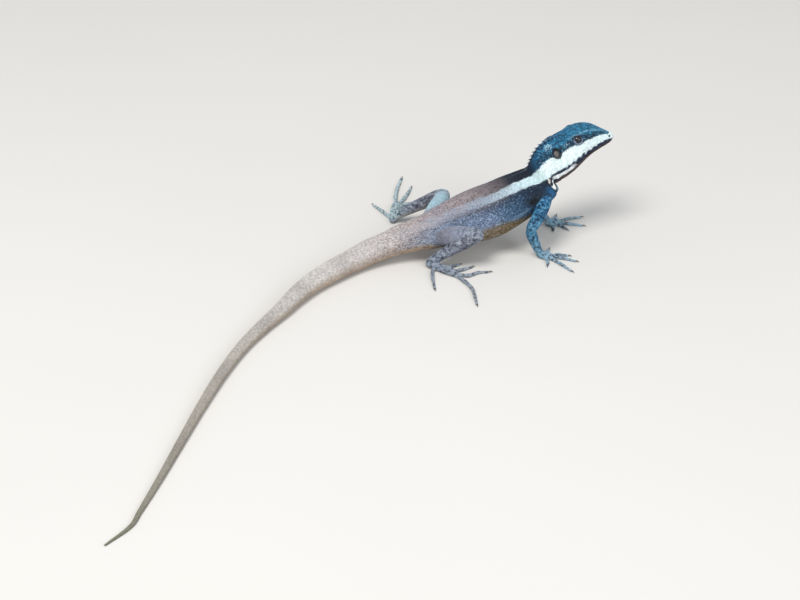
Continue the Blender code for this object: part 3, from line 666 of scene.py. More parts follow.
def neighbour_mean(values, pairs, weight):
    """Weighted mean of each point's neighbours along the edges, and the neighbours' whole weight."""
    size = len(values)
    here = np.concatenate([pairs[:, 0], pairs[:, 1]])
    there = np.concatenate([pairs[:, 1], pairs[:, 0]])
    count = np.bincount(here, weight[there], size)
    columns = values.reshape(size, -1)
    sums = [np.bincount(here, weight[there] * columns[there, k], size) for k in range(columns.shape[1])]
    return (np.stack(sums, axis=1) / np.maximum(count, 1e-9)[:, None]).reshape(values.shape), count


def place_keys(points):
    """One whole number for each point: its coordinates in steps of half a thousandth of a millimetre."""
    steps = np.rint(points * 2e6).astype(np.int64) + 2**20
    return (steps[:, 0] * 2**21 + steps[:, 1]) * 2**21 + steps[:, 2]


pairs = edge_array(skin)
points = get_points(skin)
order = np.argsort(place_keys(start_points))
sorted_keys = place_keys(start_points)[order]
keys = place_keys(points)
spot = order[np.minimum(np.searchsorted(sorted_keys, keys), total - 1)]
known = place_keys(start_points)[spot] == keys
points = points * 1000 - ORIGIN
print("union points", len(points), "new on the creases", int((~known).sum()))

# %% Fill the numbers on the creases and relax them
CREASE_HOPS, FAR_OFF = 9, 99
FILL_ROUNDS, BLEND_ROUNDS, RELAX_ROUNDS, RELAX_STEP = 8, 10, 14, 0.6
hops = np.where(known, FAR_OFF, 0)
for hop in range(1, CREASE_HOPS + 1):
    for a, b in ((0, 1), (1, 0)):
        reached = pairs[(hops[pairs[:, a]] == hop - 1) & (hops[pairs[:, b]] == FAR_OFF), b]
        hops[reached] = hop
calm = np.clip(1.15 - hops / CREASE_HOPS, 0, 1)
evenly = np.ones(len(points))
for word in NUMBERS:
    values = np.where(known, start_numbers[word][spot], 0.0)
    there = known.astype(float)
    for _ in range(FILL_ROUNDS):
        mean, count = neighbour_mean(values, pairs, there)
        fresh = (there < 0.5) & (count > 0)
        values[fresh] = mean[fresh]
        there[fresh] = 1.0
    for _ in range(BLEND_ROUNDS):
        mean, _count = neighbour_mean(values, pairs, evenly)
        values += calm * (mean - values)
    set_numbers(skin, word, values)
for _ in range(RELAX_ROUNDS):
    mean, _count = neighbour_mean(points, pairs, evenly)
    points += RELAX_STEP * calm[:, None] * (mean - points)
points[:, 2] = np.maximum(points[:, 2], 0.0)
skin.data.vertices.foreach_set("co", ((points + ORIGIN) * 0.001).ravel())
skin.data.update()
normals = np.zeros(len(points) * 3, np.float32)
skin.data.vertex_normals.foreach_get("vector", normals)
normals = normals.reshape(-1, 3)
spot_points = np.full((total, 3), np.nan)
spot_normals = np.full((total, 3), np.nan)
spot_points[spot[known]] = points[known]
spot_normals[spot[known]] = normals[known]
print("points relaxed", int((calm > 0).sum()), "faces of the skin", len(skin.data.polygons))

# %% [markdown]
# ## Scales
# The scales are small horny plates that overlap like tiles, each with a low keel. One small closed
# plate is worked out, and copies of it are set in staggered rows. Every copy stands on the skin,
# points down the lie, and keeps one colour, because all its points carry the numbers of its root.

# %% One scale
# Columns: along the lie, across it, height. The last point is under the skin.
SCALE_LEFT = ((-0.55, 0.0, -0.03), (-0.38, 0.30, 0.01), (-0.05, 0.48, 0.05), (0.28, 0.44, 0.09),
              (0.56, 0.23, 0.13), (0.74, 0.0, 0.16))
SCALE_KEEL = ((-0.25, 0.0, 0.10), (0.20, 0.0, 0.22), (0.56, 0.0, 0.25))
SCALE_ROOT = (0.05, 0.0, -0.40)
LEFT_FACES = ((0, 10, 1), (1, 10, 2), (2, 10, 11), (2, 11, 3), (3, 11, 12), (3, 12, 4), (4, 12, 5))
MIRROR = (0, 6, 7, 8, 9, 5, 1, 2, 3, 4, 10, 11, 12, 13)


def scale_template():
    """Points and faces of one scale: its left half, mirrored, and a cone that closes it below."""
    left = np.array(SCALE_LEFT)
    right = left[1:5] * (1, -1, 1)
    points = np.concatenate([left, right, SCALE_KEEL, [SCALE_ROOT]])
    top = list(LEFT_FACES) + [tuple(MIRROR[k] for k in reversed(face)) for face in LEFT_FACES]
    rim = (0, 1, 2, 3, 4, 5, 9, 8, 7, 6)
    below = [(rim[k], rim[(k + 1) % 10], 13) for k in range(10)]
    faces = np.array(top + below)
    corners = points[faces]
    volume = np.einsum("ij,ij->i", corners[:, 0], np.cross(corners[:, 1], corners[:, 2])).sum() / 6
    return points, faces if volume > 0 else faces[:, ::-1]


SCALE_POINTS, SCALE_FACES = scale_template()
print("one scale has", len(SCALE_FACES), "triangles")


# %% Rows of scales on a tube
def sample(values, ring, column):
    """Value between grid points: the mean of the four corners, weighted by nearness."""
    rings, columns = values.shape[:2]
    r0 = np.clip(np.floor(ring).astype(int), 0, rings - 2)
    c0 = np.floor(column).astype(int) % columns
    c1 = (c0 + 1) % columns
    fr = (ring - r0)[:, None]
    fc = (column - np.floor(column))[:, None]
    values = values.reshape(rings, columns, -1)
    near = values[r0, c0] * (1 - fc) + values[r0, c1] * fc
    return near * (1 - fr) + (values[r0 + 1, c0] * (1 - fc) + values[r0 + 1, c1] * fc) * fr


def scale_rows(grid, width, pitch, rng):
    """Ring and column of every scale: rows one pitch apart, each second row shifted by half a scale.

    The third answer is the number of scales in each scale's row.
    """
    length = lengthwise(grid)
    girth = np.linalg.norm(grid - np.roll(grid, 1, axis=1), axis=-1).sum(axis=1)
    step = pitch * np.maximum(width, 0.05)
    number = np.concatenate([[0], np.cumsum(np.diff(length) / ((step[1:] + step[:-1]) / 2))])
    ring = np.interp(np.arange(0.5, number[-1]), number, np.arange(len(grid)))
    places = np.arange(len(grid))
    count = np.maximum(6, 2 * np.rint(np.interp(ring, places, girth / width) / 2)).astype(int)
    rings = np.repeat(ring, count)
    start = np.concatenate([[0], np.cumsum(count)[:-1]])
    index = np.arange(count.sum()) - np.repeat(start, count)
    half = np.repeat((np.arange(len(ring)) % 2) * 0.5, count)
    columns = (index + half) / np.repeat(count, count) * grid.shape[1]
    rings = rings + rng.normal(0, 0.05, len(rings)) * np.interp(rings, places, step / np.gradient(length))
    return np.clip(rings, 0, len(grid) - 1.001), columns % grid.shape[1], np.repeat(count, count)


NARROWEST, WIDEST = 0.85, 1.45


def seeds_on(name, width, pitch, rng):
    """Places, normals, lies and numbers of the scales on one tube, taken from the finished skin."""
    grid = grids[name]
    shape = grid.shape[:2]
    first = firsts[name]
    here = slice(first, first + shape[0] * shape[1])
    placed = spot_points[here].reshape(*shape, 3)
    facing = spot_normals[here].reshape(*shape, 3)
    ring, column, count = scale_rows(grid, width, pitch, rng)
    point = sample(placed, ring, column)
    across = sample(placed, ring, column + 0.5) - sample(placed, ring, column - 0.5)
    usual = np.interp(ring, np.arange(shape[0]), width)
    wide = np.linalg.norm(across, axis=1) * shape[1] / count
    wide = np.clip(wide, NARROWEST * usual, WIDEST * usual)
    ahead = sample(placed, np.minimum(ring + 0.8, shape[0] - 1.001), column)
    behind = sample(placed, np.maximum(ring - 0.8, 0), column)
    normal = sample(facing, ring, column)
    good = ~np.isnan(point + ahead + behind + normal + across).any(axis=1)
    ring, column = ring[good], column[good]
    numbers = body_numbers(shape) if name == "body" else limb_numbers(name, grid)
    numbers = {word: sample(numbers[word], ring, np.floor(column))[:, 0] for word in NUMBERS}
    return {"point": point[good], "normal": unit(normal[good]), "lie": unit((ahead - behind)[good]),
            "width": wide[good], "ring_at": ring, "column_at": column, "numbers": numbers,
            "share": np.column_stack([ring / (shape[0] - 1), column / shape[1]])}


def pick(seeds, keep):
    """The seeds for which keep is true."""
    chosen = {word: values[keep] for word, values in seeds.items() if word != "numbers"}
    chosen["numbers"] = {word: values[keep] for word, values in seeds["numbers"].items()}
    return chosen


def join_seeds(parts):
    """Several sets of seeds as one."""
    words = [word for word in parts[0] if word != "numbers"]
    joined = {word: np.concatenate([part[word] for part in parts]) for word in words}
    numbers = [part["numbers"] for part in parts]
    joined["numbers"] = {word: np.concatenate([part[word] for part in numbers]) for word in NUMBERS}
    return joined


# %% Scales from seeds
UV_PATCH, UV_MARGIN = 0.003, 0.005


def coat_piece(name, seeds, long, high, rng):
    """Joined scales: every root + lie * length + across * width + normal * height, in one array."""
    count = len(seeds["point"])
    normal = seeds["normal"]
    lie = unit(seeds["lie"] - normal * (seeds["lie"] * normal).sum(axis=1, keepdims=True))
    across = np.cross(normal, lie)
    width = seeds["width"] * rng.uniform(0.93, 1.05, count)
    template = SCALE_POINTS
    length = np.broadcast_to(long, (count,)) * width
    height = np.broadcast_to(high, (count,)) * width * rng.uniform(0.85, 1.15, count)
    points = seeds["point"][:, None, :] + lie[:, None, :] * (template[None, :, :1] * length[:, None, None])
    points = points + across[:, None, :] * (template[None, :, 1:2] * width[:, None, None] * 1.06)
    points = points + normal[:, None, :] * (template[None, :, 2:] * height[:, None, None])
    points[..., 2] = np.maximum(points[..., 2], 0.0)
    faces = SCALE_FACES[None, :, :] + (np.arange(count) * len(template))[:, None, None]
    item = new_mesh(name, points.reshape(-1, 3), (), faces.reshape(-1, 3))
    for word in NUMBERS:
        set_numbers(item, word, np.repeat(seeds["numbers"][word], len(template)))
    set_numbers(item, "tint", np.repeat(rng.uniform(0, 1, count), len(template)))
    patch = 0.5 * UV_PATCH * template[None, :, :2]
    spread_uv = UV_MARGIN + (1 - 2 * UV_MARGIN) * (seeds["share"][:, None, :] * (1 - UV_PATCH)) + patch
    layer = item.data.uv_layers.new(name="OFBake")
    layer.data.foreach_set("uv", spread_uv.reshape(-1, 2)[faces.reshape(-1)].astype(np.float32).ravel())
    print(name, "scales", count, "triangles", count * len(SCALE_FACES))
    return item


# %% Scales of the body
BODY_WIDTH = ((0.0, 0.50), (2.0, 0.62), (8.0, 0.70), (12.0, 0.72), (15.0, 0.85), (24.0, 0.98),
              (30.0, 0.95), (35.0, 0.75), (LAST, 0.42))
LID_BARE, EAR_BARE, NOSTRIL_BARE = 3.35, 2.35, 0.75
rng = np.random.default_rng(7)
width = np.interp(body_place, *zip(*BODY_WIDTH))
body_seeds = seeds_on("body", width, 0.80, rng)
root = sample(body_base, body_seeds["ring_at"], body_seeds["column_at"])
gap, sign = line_distance(root[:, 0], root[:, 2], MOUTH)
place = np.interp(body_seeds["ring_at"], np.arange(BODY_RINGS), body_place)
bare = gap < np.interp(root[:, 0], (66.0, 72.5), (1.12, 0.45))
bare &= (root[:, 0] > MOUTH_CORNER - 1.0) & (place < 10)
for word, side in SIDES.items():
    lid, deep = lid_distance(root, word)
    bare |= (lid < LID_BARE) & (deep > -2)
    bare |= np.linalg.norm(root - feature(*EAR_AT, side)[0], axis=1) < EAR_BARE
    bare |= np.linalg.norm(root - feature(*NOSTRIL_AT, side)[0], axis=1) < NOSTRIL_BARE
body_seeds = pick(body_seeds, ~bare)
place = place[~bare]
belly = step_up(body_seeds["numbers"]["around"], 0.62, 0.8)
keel = np.interp(place, (0.0, 9.0, 12.0, 16.0), (0.55, 0.7, 1.0, 1.25))
keel = keel * (1 - np.interp(place, (6.0, 12.0), (0.75, 0.55)) * belly)
pieces = []
edges = (0.0, 9.0, 14.0, 17.6, 21.0, 25.0, 29.0, 33.5, LAST + 1)
words = ("head", "neck", "shoulder", "trunk", "hip", "tail_base", "tail_middle", "tail_end")
for word, low, high in zip(words, edges[:-1], edges[1:]):
    keep = (place >= low) & (place < high)
    part = pick(body_seeds, keep)
    top = min(high, LAST)
    part["share"] = np.column_stack([(place[keep] - low) / (top - low), part["share"][:, 1]])
    pieces.append(coat_piece("scales_" + word, part, 1.18, keel[keep], rng))

# %% Scales of the legs
LIMB_WIDTHS = {"upper": 0.80, "forearm": 0.74, "thigh": 0.86, "shank": 0.80, "hand": 0.60, "foot": 0.66}
groups = {"arms": [], "legs": [], "fingers": [], "toes": []}
for name, grid in limbs.items():
    kind = name.split("_")[0]
    toed = "toe" in name
    width = np.full(len(grid), LIMB_WIDTHS[kind] * (0.72 if toed else 1.0))
    group = ("fingers" if kind == "hand" else "toes") if kind in ("hand", "foot") else ""
    group = group or ("arms" if "arm" in name else "legs")
    groups[group].append(seeds_on(name, width, 0.82 if not toed else 0.95, rng))
for group, parts in groups.items():
    side = int(np.ceil(np.sqrt(len(parts))))
    for number, part in enumerate(parts):
        corner = np.array(divmod(number, side), dtype=float)
        part["share"] = (corner + 0.02 + 0.96 * part["share"]) / side
    pieces.append(coat_piece("scales_" + group, join_seeds(parts), 1.18, 1.05, rng))

# %% [markdown]
# ## Loose scales where tubes meet
# The rows stop where one tube dives into the next, so shoulders, hips and the roots of the toes would
# stay bare. Loose small scales fill them: one for each small cube of space that the crease passes.

# %% Scales in the creases
CREASE_CELL = 0.60
near = np.flatnonzero((hops <= 3) & (points[:, 2] > 0.15))
_cells, first = np.unique(np.floor(points[near] / CREASE_CELL).astype(int), axis=0, return_index=True)
near = near[first]
lie = np.broadcast_to((-0.85, 0.0, -0.2), (len(near), 3))
crease_numbers = {word: get_numbers(skin, word)[near].astype(float) for word in NUMBERS}
width = np.interp(points[near][:, 2], (2.0, 8.0), (0.50, 0.72))
order = np.argsort(points[near][:, 0])
side = int(np.ceil(np.sqrt(len(near))))
share = np.zeros((len(near), 2))
share[order] = np.column_stack(np.divmod(np.arange(len(near)), side)) / side
crease_seeds = {"point": points[near], "normal": unit(normals[near].astype(float)), "lie": unit(lie),
                "width": width, "share": share, "numbers": crease_numbers}
pieces.append(coat_piece("scales_creases", crease_seeds, 1.25, 0.8, rng))

# %% [markdown]
# ## Lips and eyelids
# Lips carry one row of larger plates above the mouth and one below, and small beads ring each eye.
# They are the same scale again, set along a line instead of in rows.

# %% Plates along the lips and beads round the eyes
SNOUT_TIP = np.array((73.30, 7.5, 55.7))
SNOUT_WAY = unit(np.array((0.97, 0.0, -0.22)))
LIP_FIRST, LIP_PLATES, LIP_OFFSETS = 72.6, 21, (0.78, -0.85)
LIP_WIDTHS = ((46.0, 1.35), (66.0, 1.25), (LIP_FIRST, 0.9))
# Rings of beads: radius, number of beads and width of a bead.
LID_RINGS = ((2.08, 24, 0.50), (2.50, 26, 0.56), (3.0, 28, 0.64), (3.5, 30, 0.74))
EAR_RINGS = ((2.15, 22, 0.60), (2.65, 24, 0.68))
SNOUT_RINGS = ((0.2, 4, 0.9), (0.8, 9, 0.8))
LID_LIFT = 1.3


def skin_seeds(points, lies, widths, share):
    """Seeds on the body's skin nearest to given points."""
    count = BODY_RINGS * BODY_COLUMNS
    placed, facing = spot_points[1:count + 1], spot_normals[1:count + 1]
    usable = np.repeat(body_place < 14, BODY_COLUMNS) & ~np.isnan(placed).any(axis=1)
    candidates = np.flatnonzero(usable)
    gaps = ((points[:, None, :] - placed[None, candidates, :]) ** 2).sum(axis=2)
    spots = candidates[np.argmin(gaps, axis=1)]
    numbers = body_numbers(body_grid.shape[:2])
    return {"point": placed[spots], "normal": unit(facing[spots]), "lie": unit(lies),
            "width": np.asarray(widths), "share": share,
            "numbers": {word: numbers[word].ravel()[spots] for word in NUMBERS}}


def lip_seeds(side, offset, count):
    """Plates along one lip: points of the mouth line moved up or down by an offset."""
    x = np.linspace(LIP_FIRST, MOUTH_CORNER - 1.3, count)
    line = np.array(MOUTH)[::-1]
    z = np.interp(x, line[:, 0], line[:, 1]) + offset
    points = np.array([feature(px, pz, side)[0] for px, pz in zip(x, z)])
    lies = np.gradient(points, axis=0)
    strip = np.full(count, 0.5 + 0.2 * side + 0.05 * offset)
    share = np.column_stack([np.linspace(0.1, 0.9, count), strip])
    return skin_seeds(points, lies, np.interp(x, *zip(*LIP_WIDTHS)), share)


def ring_seeds(centre, normal, radius, count, width, tall, corner):
    """Beads on a ring round an eye, an ear or the snout's tip, each pointing away from it.

    tall presses the ring's height; corner is its own ninth of the unwrap.
    """
    across = unit(np.cross((0.0, 0.0, 1.0), normal))
    upward = np.cross(normal, across)
    turn = turns(count)
    out = np.cos(turn)[:, None] * across + tall * np.sin(turn)[:, None] * upward
    share = (np.array(corner) + 0.5 + np.column_stack([np.cos(turn), np.sin(turn)]) * radius * 0.12) / 3
    return skin_seeds(centre + out * radius, out, np.full(count, width), share)


lips = [lip_seeds(side, offset, LIP_PLATES) for side in SIDES.values() for offset in LIP_OFFSETS]
pieces.append(coat_piece("scales_lips", join_seeds(lips), 1.35, 0.42, rng))
rings = []
for number, (word, side) in enumerate(SIDES.items()):
    centre, normal = eyes[word]
    for ring in LID_RINGS:
        rings.append(ring_seeds(centre + normal * LID_LIFT, normal, *ring, LID_SHAPE, (number, 0)))
    ear, normal = feature(*EAR_AT, side)
    for ring in EAR_RINGS:
        rings.append(ring_seeds(ear, normal, *ring, 0.95, (number, 1)))
for radius, count, bead in SNOUT_RINGS:
    tip = ring_seeds(SNOUT_TIP, SNOUT_WAY, radius, count, bead, 1.15, (2, 2))
    tip["point"] = SNOUT_TIP + tip["lie"] * radius
    tip["normal"] = np.broadcast_to(SNOUT_WAY, tip["point"].shape)
    tip["numbers"] = {word: np.zeros(count) for word in NUMBERS}
    tip["numbers"]["around"] = 0.40 - 0.12 * np.sin(turns(count))
    rings.append(tip)
pieces.append(coat_piece("scales_eyelids", join_seeds(rings), 1.0, 1.25, rng))

# %% [markdown]
# ## Crest
# A comb of thin spines stands on the nape and carries on down the back as low points. Each spine is a
# flattened tube that leans back and ends in a point, rooted just under the skin.

# %% Spines of the crest
CREST_PLACES = ((8.3, 1.5), (8.8, 2.1), (9.25, 2.5), (9.7, 2.8), (10.15, 2.9), (10.6, 2.9), (11.05, 2.9),
                (11.5, 2.8), (11.95, 2.7), (12.4, 2.6), (12.85, 2.5), (13.3, 2.2), (13.8, 1.9))
BACK_FIRST, BACK_LAST, BACK_COUNT = 14.3, 23.5, 62
# Of a spine's height: how deep its root lies, how wide, how far it leans back; and its flatness.
SPINE_SUNK, SPINE_WIDE, SPINE_LEAN, SPINE_FLAT = -0.25, 0.30, 0.55, 0.42


def back_frame(places):
    """Point, outward normal and backward direction on the middle of the back."""
    ring = np.interp(places, body_place, np.arange(BODY_RINGS))
    column = np.zeros(len(ring))
    point = sample(body_grid, ring, column)
    lie = unit(sample(body_grid, ring + 1, column) - sample(body_grid, ring - 1, column))
    normal = sample(body_normal, ring, column)
    return point, unit(normal - lie * (normal * lie).sum(axis=1, keepdims=True)), lie


def spine_points(point, normal, lie, height, rings=7, columns=8):
    """Spine: root + normal * height * t + lie * lean * t ** 1.7, an ellipse that shrinks to a point."""
    t = np.linspace(SPINE_SUNK, 1, rings)
    free = np.clip(t, 0, 1)
    width = height * SPINE_WIDE * np.clip(1 - free, 0.04, 1) ** 0.8
    middle = point + normal * (t * height)[:, None] + lie * (SPINE_LEAN * height * free**1.7)[:, None]
    ring = circle(columns, lie, SPINE_FLAT * np.cross(normal, lie))
    return middle[:, None, :] + width[:, None, None] * ring


def tipped_piece(name, grids_list, places=None):
    """Closed tubes with numbers: tip is 0 at the root and 1 at the tip, tint is each tube's own."""
    item = closed_tubes(name, grids_list)
    sizes = [grid.shape[0] * grid.shape[1] + 2 for grid in grids_list]
    tips = [with_ends(spread(np.linspace(0, 1, len(grid)), grid.shape[:2], 0)) for grid in grids_list]
    set_numbers(item, "tip", np.concatenate(tips))
    if places is not None:
        set_numbers(item, "along", np.repeat(places / LAST, sizes))
        set_numbers(item, "tint", np.repeat(rng.uniform(size=len(sizes)), sizes))
    return item


crest_places, crest_heights = np.array(CREST_PLACES).T
low_places = np.linspace(BACK_FIRST, BACK_LAST, BACK_COUNT)
low_heights = np.interp(low_places, (BACK_FIRST, 18.0, BACK_LAST), (1.2, 0.75, 0.4))
spines = []
for height, point, normal, lie in zip(crest_heights, *back_frame(crest_places)):
    spines.append(spine_points(point, normal, lie, height))
for height, point, normal, lie in zip(low_heights, *back_frame(low_places)):
    spines.append(spine_points(point, normal, unit(lie + normal * 0.1), height, 5, 6))
crest = tipped_piece("crest", spines, np.concatenate([crest_places, low_places]))
print("spines", len(spines))

# %% [markdown]
# ## Claws
# Every toe ends in a thin hooked claw. It is a tapering tube that starts inside the toe's tip, arches
# a little and comes down to the floor.

# %% Claws
CLAW_LENGTH, CLAW_ROOT, CLAW_TIP, CLAW_ARCH = 2.4, 0.40, 0.05, 0.45


def claw_grid(points, radii):
    """Claw: toe tip + heading * length * t, raised by a sine arch, with a radius that falls to the tip."""
    rows = toe_rows(points, radii)
    forward = unit(unit(rows[-1, :3] - rows[-2, :3]) * (1, 1, 0))
    t = np.linspace(0, 1, 9)
    root = rows[-1, :3] + forward * radii[1] * 0.2
    radius = CLAW_ROOT + (CLAW_TIP - CLAW_ROOT) * t ** 1.2
    middle = root + forward * (CLAW_LENGTH * t)[:, None]
    low = root[2] + 0.15
    middle[:, 2] = low + (CLAW_TIP + 0.05 - low) * t**1.6 + CLAW_ARCH * np.sin(np.pi * t)
    return tube_grid(np.column_stack([middle, radius]), 12, 10)


claw_grids = []
for name, toes in TOES.items():
    radii = FINGER_RADII if name.startswith("hand") else TOE_RADII
    claw_grids += [claw_grid(points, radii) for points in toes]
for grid in claw_grids:
    grid[..., 2] = np.maximum(grid[..., 2], 0.0)
claws = tipped_piece("claws", claw_grids)
print("claws", len(claw_grids))

# %% [markdown]
# ## Eyes and ears
# The eye is a wet ball held by the lids. Its dark iris and black pupil are rings round the axis that
# looks out of the head, so each ball keeps a number for the turn away from that axis. The ear is a
# thin drum of skin that lies in a shallow hollow behind the jaw.

# %% Eyeballs and eardrums
DRUM_DEPTH, DRUM_RADII = 1.10, (0.30, 2.1)


def ball_grid(centre, axis, radii, rings=40, columns=48):
    """Flattened ball: centre + axis * cos(t) * depth + ring * sin(t) * radius, from pole to pole."""
    across = unit(np.cross((0.0, 0.0, 1.0), axis))
    upward = np.cross(axis, across)
    t = np.linspace(0.03, np.pi - 0.03, rings)
    ring = circle(columns, across, upward)
    deep, wide = np.cos(t) * radii[0], np.sin(t) * radii[1]
    return centre + axis * deep[:, None, None] + ring * wide[:, None, None]


eye_pieces, drum_grids = {}, []
for word, side in SIDES.items():
    centre, axis = eyes[word]
    eye_pieces[word] = tipped_piece("eyeball_" + word, [ball_grid(centre, axis, (EYE_BALL, EYE_BALL))])
    ear, ear_normal = feature(*EAR_AT, side)
    drum_grids.append(ball_grid(ear - ear_normal * DRUM_DEPTH, ear_normal, DRUM_RADII, 24, 36))
drums = tipped_piece("eardrums", drum_grids)
print("eyes", len(eye_pieces), "eardrums", len(drum_grids))

# %% [markdown]
# ## Shader arithmetic
# A marking is a sum: where am I along the body, how far round it, and how does that compare with an
# edge. A small class lets such sums be written as they are said, and each one adds a Math node.

# %% A wire that can be added and multiplied
class Wire:
    """An output socket. Arithmetic on wires and numbers adds Math nodes to the paint it belongs to."""

    def __init__(self, paint, socket):
        self.paint = paint
        self.socket = socket

    def math(self, operation, first, second):
        return self.paint.node("ShaderNodeMath", {"operation": operation}, {0: first, 1: second})

    def __add__(self, other):
        return self.math("ADD", self, other)

    def __radd__(self, other):
        return self.math("ADD", other, self)

    def __sub__(self, other):
        return self.math("SUBTRACT", self, other)

    def __rsub__(self, other):
        return self.math("SUBTRACT", other, self)

    def __mul__(self, other):
        return self.math("MULTIPLY", self, other)

    def __rmul__(self, other):
        return self.math("MULTIPLY", other, self)


# %% A material under construction
class Paint:
    """One material under construction, with a single method that adds any node."""

    def __init__(self, name):
        self.material = bpy.data.materials.new(name)
        self.material.use_nodes = True
        self.tree = self.material.node_tree
        self.tree.nodes.clear()

    def node(self, kind, settings=None, inputs=None, output=0):
        """Adds a node: settings first (stops fill a ramp, bends a curve), then values and links."""
        node = self.tree.nodes.new(kind)
        for key, value in (settings or {}).items():
            if key == "stops":
                fill_ramp(node.color_ramp, value)
            elif key == "bends":
                fill_curve(node.mapping, value)
            else:
                setattr(node, key, value)
        for key, value in (inputs or {}).items():
            if isinstance(value, Wire):
                self.tree.links.new(value.socket, node.inputs[key])
            else:
                node.inputs[key].default_value = value
        return Wire(self, node.outputs[output] if node.outputs else None)

    def number(self, name):
        """A number that rides on the mesh."""
        return self.node("ShaderNodeAttribute", {"attribute_name": name}, {}, "Fac")

    def place(self):
        """The object's own coordinates, in metres."""
        return self.node("ShaderNodeTexCoord", {}, {}, "Object")

    def noise(self, scale, detail=2.0):
        """Soft noise on the object's own coordinates, from about 0.25 to 0.75."""
        inputs = {"Vector": self.place(), "Scale": scale, "Detail": detail}
        return self.node("ShaderNodeTexNoise", {}, inputs)

    def reach_from(self, x, z, tall=1.0):
        """Millimetres from a place in the side view, heights divided by tall; the same left and right."""
        kind = "ShaderNodeVectorMath"
        centre = ((x + ORIGIN[0]) * 0.001, 0.0, z * 0.001)
        off = self.node(kind, {"operation": "SUBTRACT"}, {0: self.place(), 1: centre})
        off = self.node(kind, {"operation": "MULTIPLY"}, {0: off, 1: (1.0, 0.0, 1.0 / tall)})
        return self.node(kind, {"operation": "LENGTH"}, {0: off}, "Value") * 1000.0

    def far_side(self, low, high):
        """0 on the animal's right and 1 on its left, changing between two places across it, in mm."""
        level = self.node("ShaderNodeSeparateXYZ", {}, {"Vector": self.place()}, "Y")
        return self.between(level, (low + ORIGIN[1]) * 0.001, (high + ORIGIN[1]) * 0.001)

    def spot(self, first, second, at, size):
        """1 inside an oval of two numbers, round a place and with the given half sizes, 0 outside it."""
        first, second = (first - at[0]) * (1 / size[0]), (second - at[1]) * (1 / size[1])
        return 1 - self.between(first * first + second * second, 0.6, 1.5)

    def between(self, value, low, high):
        """Smooth step: 0 below low, 1 above high."""
        inputs = {"Value": value, "From Min": low, "From Max": high}
        return self.node("ShaderNodeMapRange", {"interpolation_type": "SMOOTHSTEP"}, inputs)

    def window(self, value, low, rise, fall, high):
        """1 from rise to fall, and 0 below low and above high."""
        return self.between(value, low, rise) * (1 - self.between(value, fall, high))

    def rows(self, along, low, high):
        """Smooth step between two rows of the spine."""
        return self.between(along, low / LAST, high / LAST)

    def curve(self, value, bends):
        """Curve through the given points."""
        return self.node("ShaderNodeFloatCurve", {"bends": bends}, {"Value": value})

    def ramp(self, value, stops):
        """Colours along a number."""
        return self.node("ShaderNodeValToRGB", {"stops": stops}, {"Fac": value})

    def mix(self, share, first, second, blend="MIX"):
        """Two colours by a share."""
        settings = {"data_type": "RGBA", "blend_type": blend}
        return self.node("ShaderNodeMix", settings, {"Factor": share, 6: first, 7: second}, 2)

    def finish(self, inputs, bump=None, strength=0.3, distance=0.0002):
        """Principled surface; bump is a height that tilts the light."""
        if bump is not None:
            settings = {"Strength": strength, "Distance": distance, "Height": bump}
            inputs = dict(inputs, Normal=self.node("ShaderNodeBump", {}, settings))
        surface = self.node("ShaderNodeBsdfPrincipled", {}, inputs)
        self.node("ShaderNodeOutputMaterial", {}, {"Surface": surface})
        return self.material


# %% Screen colours, ramps and curves
def linear(red, green, blue):
    """Screen colour from 0 to 255 as a linear colour with alpha."""
    values = np.array((red, green, blue)) / 255
    values = np.where(values <= 0.04045, values / 12.92, ((values + 0.055) / 1.055) ** 2.4)
    return (*values.tolist(), 1.0)


def fill_ramp(ramp, stops):
    """Sets a colour ramp from pairs of place and screen colour."""
    ramp.interpolation = "LINEAR"
    while len(ramp.elements) > 1:
        ramp.elements.remove(ramp.elements[-1])
    for number, (place, colour) in enumerate(stops):
        element = ramp.elements[0] if number == 0 else ramp.elements.new(place)
        element.position = place
        element.color = linear(*colour)


def fill_curve(mapping, bends):
    """Sets a curve from pairs of in and out, both from 0 to 1."""
    curve = mapping.curves[0]
    for number, (place, value) in enumerate(bends):
        if number < 2:
            curve.points[number].location = (place, value)
        else:
            curve.points.new(place, value)
    for point in curve.points:
        point.handle_type = "AUTO_CLAMPED"
    mapping.update()


# %% [markdown]
# ## Markings
# A broad white band runs from the snout over the lips and the side of the neck, and narrows to a
# speckled line along the back. Above it the head is teal blue and the shoulders are black. Below it
# lie a dark stripe, a second white stripe on the jaw, a blue grey flank and an olive belly.

# %% Edges of the bands and colours along the spine
# Edges are pairs of spine row and share of the way round, from the middle of the back at 0 to the
# middle of the belly at 1. Colours are pairs of place and screen colour from 0 to 255.
BAND_TOP = ((0.0, -0.06), (1.1, -0.06), (1.5, 0.10), (2.0, 0.205), (3.0, 0.256), (3.6, 0.288),
            (4.2, 0.325), (4.8, 0.358), (5.5, 0.364), (6.4, 0.362), (8.0, 0.358), (9.0, 0.348),
            (9.9, 0.325), (11.3, 0.285), (12.3, 0.250), (13.2, 0.190), (14.2, 0.130), (15.7, 0.105),
            (17.5, 0.098), (22.0, 0.10), (41.0, 0.10))
